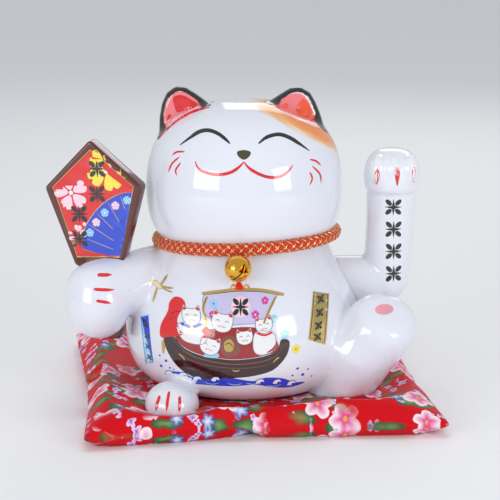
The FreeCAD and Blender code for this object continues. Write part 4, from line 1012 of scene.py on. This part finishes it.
def make_cushion(casting):
    """Two sheets sewn at the rim, blown up by their filling, pressed flat by the floor and the cat."""
    bpy.ops.mesh.primitive_grid_add(x_subdivisions=CLOTH_CELLS, y_subdivisions=CLOTH_CELLS, size=CUSHION_SIDE * MM,
            calc_uvs=True)
    cushion = bpy.context.object
    cushion.name = "cushion_pillow"
    modify(cushion, "SOLIDIFY", thickness=3 * MM, offset=0)
    placed(cushion, CUSHION_PLACE @ Matrix.Translation((0, 0, PILLOW_START * MM)))
    held = [vertex.index for vertex in cushion.data.vertices
            if math.hypot(vertex.co.x, vertex.co.y) < HELD_RADIUS * MM]
    cushion.vertex_groups.new(name="held").add(held, 1, "ADD")
    start = [vertex.co.copy() for vertex in cushion.data.vertices]
    cloth = cushion.modifiers.new("Cloth", "CLOTH")
    cloth.settings.use_pressure = True
    cloth.settings.uniform_pressure_force = WADDING_PRESSURE
    cloth.settings.vertex_group_mass = "held"
    cloth.settings.effector_weights.gravity = 0
    cloth.settings.tension_stiffness = CLOTH_STIFFNESS
    cloth.settings.compression_stiffness = CLOTH_STIFFNESS
    cloth.settings.bending_stiffness = 0.6
    cloth.settings.quality = 6
    cloth.point_cache.frame_start = 1
    cloth.point_cache.frame_end = SIM_FRAMES
    scene = bpy.context.scene
    for step in range(1, SIM_FRAMES + 1):
        scene.frame_set(step)
    pick(cushion)
    bpy.ops.object.modifier_apply(modifier=cloth.name)
    scene.frame_set(1)
    for vertex, old in zip(cushion.data.vertices, start):
        move = vertex.co - old
        if move.length > PILLOW_CAP * MM:
            move = move.normalized() * PILLOW_CAP * MM
        vertex.co = old + Vector((move.x * PULL_IN, move.y * PULL_IN, move.z))
    modify(cushion, "SUBSURF", levels=1, render_levels=1)
    for vertex in cushion.data.vertices:
        across = math.hypot(vertex.co.x, vertex.co.y)
        low = max(vertex.co.z, 0.0)
        if across < FLAT_RADIUS * MM:
            low = min(low, (SEAT - 0.3) * MM) if vertex.co.z > PILLOW_START * MM else 0.0
        hit, spot, _, _ = casting.ray_cast(Vector((vertex.co.x, vertex.co.y, -0.001)), Z_AXIS, distance=0.06)
        if hit:
            low = min(low, spot.z - SHEET_GAP * MM)
        near = casting.closest_point_on_mesh(vertex.co)[1]
        low = min(low, SEAT * MM + SLUMP * (near - vertex.co).length)
        vertex.co.z = low
    modify(cushion, "SMOOTH", factor=0.4, iterations=2)
    for vertex in cushion.data.vertices:
        if vertex.co.z < 0.0012:
            vertex.co.z = 0.0
    smooth_shade(cushion, 80)
    return piece(cushion, "cushion", satin_finish(), ["cushion_cover", "cushion_filling"])


def make_blossom_group():
    """A scatter of petalled blooms: mask, distance from each middle, angle, and a chance value."""
    group, given, result = new_group(
        "printed_bloom", {"Vector": "Vector", "Scale": "Float", "Size": "Float", "Petals": "Float",
            "Depth": "Float"},
        {"Mask": "Float", "Ring": "Float", "Chance": "Float", "Spoke": "Float"})
    cell = shader_node(group, "TexVoronoi", {"Vector": given["Vector"], "Scale": given["Scale"],
            "Randomness": 0.8},
            voronoi_dimensions="2D")
    chance = shader_node(group, "SeparateXYZ", {"Vector": cell.outputs["Color"]}).outputs
    offset = shader_node(group, "VectorMath", {0: given["Vector"], 1: cell.outputs["Position"]},
            operation="SUBTRACT").outputs[0]
    part = shader_node(group, "SeparateXYZ", {"Vector": offset}).outputs
    angle = calc(group, "ADD", calc(group, "ARCTAN2", part[1], part[0]),
            calc(group, "MULTIPLY", chance[1], 6.28))
    wave = calc(group, "ABSOLUTE", calc(group, "COSINE", calc(group, "MULTIPLY", angle, given["Petals"])))
    rim = calc(group, "SUBTRACT", 1.0, calc(group, "MULTIPLY", given["Depth"],
            calc(group, "SUBTRACT", 1.0, wave)))
    size = calc(group, "MULTIPLY", given["Size"], ramped(group, chance[2], 0.0, 1.0, 0.7, 1.1))
    ring = calc(group, "DIVIDE", cell.outputs["Distance"], calc(group, "MULTIPLY", size, rim))
    group.links.new(ramped(group, ring, 1.0, 0.93), result["Mask"])
    group.links.new(ring, result["Ring"])
    group.links.new(chance[0], result["Chance"])
    group.links.new(wave, result["Spoke"])
    return group


def bloom(tree, vector, scale, size, petals_half, depth):
    made = shader_node(tree, "Group", node_tree=BLOOM)
    tree.links.new(vector, made.inputs["Vector"])
    for key, value in (("Scale", scale), ("Size", size), ("Petals", petals_half), ("Depth", depth)):
        made.inputs[key].default_value = value
    return made.outputs


def satin_finish():
    """Red satin printed with pink and blue blossoms, leaves and lilac sprigs."""
    material = finish("printed_satin", (0.64, 0.002, 0.008), 0.5, grain=900, mottle=0.1, bump=0.05,
            Sheen_Weight=0.03, Sheen_Roughness=0.35, Specular_IOR_Level=0.16)
    tree = material.node_tree
    shader = tree.nodes["Principled BSDF"]
    uv = shader_node(tree, "UVMap").outputs[0]
    cloth = shader_node(tree, "VectorMath", {0: uv, "Scale": 2.81}, operation="SCALE").outputs[0]
    wobble = shader_node(tree, "TexNoise", {"Vector": cloth, "Scale": 9.0, "Detail": 2.0}).outputs[1]
    bent = shader_node(tree, "VectorMath", {0: cloth, 1: shader_node(
        tree, "VectorMath", {0: wobble, "Scale": 0.05}, operation="SCALE").outputs[0]},
        operation="ADD").outputs[0]
    patch = shader_node(tree, "TexNoise", {"Vector": cloth, "Scale": 1.5, "Detail": 1.0}).outputs[0]
    dense = ramped(tree, patch, 0.40, 0.45)
    colour = shader.inputs["Base Color"].links[0].from_socket

    leaf_place = shader_node(tree, "Mapping", {"Vector": bent, "Location": (0.31, 0.17, 0),
            "Scale": (0.5, 1.25, 1)}).outputs[0]
    leaf = bloom(tree, leaf_place, 5.5, 0.42, 1.0, 0.5)
    leaf_colour = mixed(tree, ramped(tree, leaf["Ring"], 0.0, 1.0), rgba((0.20, 0.34, 0.12)),
            rgba((0.02, 0.07, 0.03)))
    colour = mixed(tree, calc(tree, "MULTIPLY", leaf["Mask"], dense), colour, leaf_colour)

    sprig_place = shader_node(tree, "Mapping", {"Vector": bent, "Location": (0.7, 0.43, 0)}).outputs[0]
    sprig = bloom(tree, sprig_place, 9.5, 0.42, 2.0, 0.5)
    cluster = ramped(tree, shader_node(tree, "TexNoise",
            {"Vector": cloth, "Scale": 4.2, "Detail": 1.0}).outputs[0], 0.52, 0.56)
    sprig_colour = mixed(tree, ramped(tree, sprig["Ring"], 0.1, 0.6), rgba((0.38, 0.08, 0.42)),
            rgba((0.80, 0.58, 0.86)))
    colour = mixed(tree, calc(tree, "MULTIPLY", sprig["Mask"], cluster), colour, sprig_colour)

    blue = bloom(tree, shader_node(tree, "Mapping", {"Vector": bent, "Location": (1.3, 0.9, 0)}).outputs[0],
            4.2, 0.30, 3.0, 0.45)
    blue_colour = mixed(tree, ramped(tree, blue["Ring"], 0.15, 0.9), rgba((0.75, 0.80, 0.95)),
            rgba((0.06, 0.10, 0.42)))
    some_blue = calc(tree, "GREATER_THAN", blue["Chance"], 0.62)
    colour = mixed(tree, calc(tree, "MULTIPLY", calc(tree, "MULTIPLY", blue["Mask"], some_blue), dense),
            colour, blue_colour)

    pink = bloom(tree, bent, 3.1, 0.40, 2.5, 0.34)
    veins = calc(tree, "MULTIPLY", ramped(tree, pink["Spoke"], 0.75, 1.0),
            ramped(tree, pink["Ring"], 0.9, 0.2))
    petal = mixed(tree, ramped(tree, pink["Ring"], 0.25, 0.85), rgba((0.80, 0.08, 0.30)),
            rgba((0.94, 0.78, 0.84)))
    petal = mixed(tree, calc(tree, "MULTIPLY", veins, 0.7), petal, rgba((0.75, 0.10, 0.35)))
    petal = mixed(tree, ramped(tree, pink["Ring"], 0.18, 0.12), petal, rgba((0.75, 0.45, 0.05)))
    some_pink = calc(tree, "GREATER_THAN", pink["Chance"], 0.22)
    colour = mixed(tree, calc(tree, "MULTIPLY", calc(tree, "MULTIPLY", pink["Mask"], some_pink), dense),
            colour, petal)
    tree.links.new(colour, shader.inputs["Base Color"])

    weave = shader_node(tree, "TexWave", {"Vector": cloth, "Scale": 240.0, "Distortion": 0.6},
            bands_direction="DIAGONAL")
    relief = shader_node(tree, "Bump", {"Height": weave.outputs[1], "Strength": 0.06, "Distance": 0.0002})
    tree.links.new(relief.outputs[0], shader.inputs["Normal"])
    return material


# ---- finishes ------------------------------------------------------------------------------------

GRAIN = make_grain_group()
BLOOM = make_blossom_group()
INKS = {name: finish("ink_" + name, colour, 0.14, grain=180, mottle=0.14, bump=0.01, coat=0.8)
        for name, colour in {
    "black": (0.006, 0.006, 0.007), "red": (0.74, 0.01, 0.012), "dark_red": (0.30, 0.004, 0.006),
    "olive": (0.06, 0.045, 0.012), "pink": (0.90, 0.22, 0.25), "light_pink": (0.93, 0.66, 0.76),
    "orange": (0.86, 0.10, 0.02), "white": (0.88, 0.88, 0.90), "grey": (0.20, 0.20, 0.24),
    "brown": (0.030, 0.005, 0.005), "rim": (0.24, 0.07, 0.05), "hold": (0.34, 0.012, 0.012),
    "lavender": (0.60, 0.56, 0.82), "blue": (0.015, 0.06, 0.62), "sky": (0.30, 0.66, 0.92),
    "yellow": (0.92, 0.78, 0.06), "magenta": (0.70, 0.03, 0.36), "light_gold": (0.86, 0.76, 0.50)}.items()}
INKS["pad"] = finish("ink_pad", (0.86, 0.36, 0.42), 0.16, grain=90, mottle=0.3, coat=0.6)
INKS["gold"] = finish("ink_gold", (0.62, 0.44, 0.14), 0.3, metallic=0.75, grain=300, mottle=0.3, coat=0.5)

INKS["foil"] = finish("ink_foil", (0.60, 0.46, 0.16), 0.22, metallic=0.9, grain=60, mottle=0.5, coat=0.5)

FINISHES = {
    "arm_white": finish("arm_white", (0.82, 0.84, 0.90), 0.16, grain=30, mottle=0.02, bump=0.006, coat=0.4),
    "tablet_glaze": finish("tablet_glaze", (0.10, 0.014, 0.008), 0.12, grain=40, mottle=0.5, coat=0.8),
    "red_cord": finish("red_cord", (0.62, 0.012, 0.010), 0.55, grain=1500, mottle=0.5, bump=0.5,
        Sheen_Weight=0.3),
    "cord_core": finish("cord_core", (0.16, 0.004, 0.004), 0.8, grain=900, mottle=0.4, bump=0.3),
    "gold_thread": finish("gold_thread", (0.95, 0.62, 0.16), 0.25, metallic=1.0, grain=1800, mottle=0.6,
        bump=0.3),
    "bell_gold": finish("bell_gold", (0.86, 0.47, 0.06), 0.08, metallic=1.0, grain=120, mottle=0.12,
        bump=0.02),
    "white_glaze": finish("frame_glaze", (0.80, 0.82, 0.90), 0.09, grain=25, mottle=0.02),
    "printed_satin": finish("cushion_red", (0.6, 0.005, 0.012), 0.4, grain=900, mottle=0.1),
    "cushion_wadding": finish("cushion_wadding", (0.80, 0.79, 0.76), 0.95, grain=350, mottle=0.2, bump=0.8),
    "black_plastic": finish("black_plastic", (0.018, 0.018, 0.020), 0.42, grain=700, mottle=0.2, bump=0.15),
    "grey_plastic": finish("grey_plastic", (0.30, 0.31, 0.33), 0.38, grain=500, mottle=0.1, bump=0.08),
    "steel": finish("steel", (0.56, 0.57, 0.60), 0.28, metallic=1.0, grain=260, mottle=0.2, bump=0.05),
    "battery_jacket": finish("battery_jacket", (0.05, 0.16, 0.10), 0.3, metallic=0.3, grain=90, mottle=0.2,
        coat=0.5),
    "copper": finish("copper", (0.72, 0.26, 0.10), 0.32, metallic=1.0, grain=1600, mottle=0.4, bump=0.5),
    "board_green": finish("board_green", (0.02, 0.19, 0.07), 0.35, grain=400, mottle=0.3, coat=0.4),
    "component_black": finish("component_black", (0.02, 0.02, 0.022), 0.5, grain=600, mottle=0.2),
    "brass": finish("brass", (0.78, 0.56, 0.22), 0.3, metallic=1.0, grain=300, mottle=0.2),
    "magnet_nickel": finish("magnet_nickel", (0.66, 0.65, 0.62), 0.16, metallic=1.0, grain=200, mottle=0.1),
}


def refinish_frame_nodes():
    """Give every carried-over node its own finish; its plain one is named for its slot."""
    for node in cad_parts.values():
        for slot in node.material_slots:
            slot.material = FINISHES[slot.material.name.split(".")[0]]


make_camera()
make_studio()
refinish_frame_nodes()
casting = make_casting()
make_cushion(casting)
printed("face_paint", "figurine", casting, FACE_PAINT)
printed("ear_paint", "figurine", casting, EAR_PAINT, grid=1.2)
ear_rims(casting)
printed("toe_paint", "figurine", casting, TOE_PAINT)
printed("belly_print", "figurine", casting, BELLY_PAINT, avoid=(FOOT, 23))
printed("side_plaque", "figurine", casting, PLAQUE_PAINT)
toward_sole = SOLE_FACING.to_track_quat("Z", "Y").to_matrix().to_4x4()
sole_place = Matrix.Translation((SOLE + SOLE_FACING * 50) * MM) @ toward_sole
printed("sole_pad", "figurine", casting, SOLE_PAINT, sole_place)
make_arm()
make_tablet()
make_collar()
make_bell()
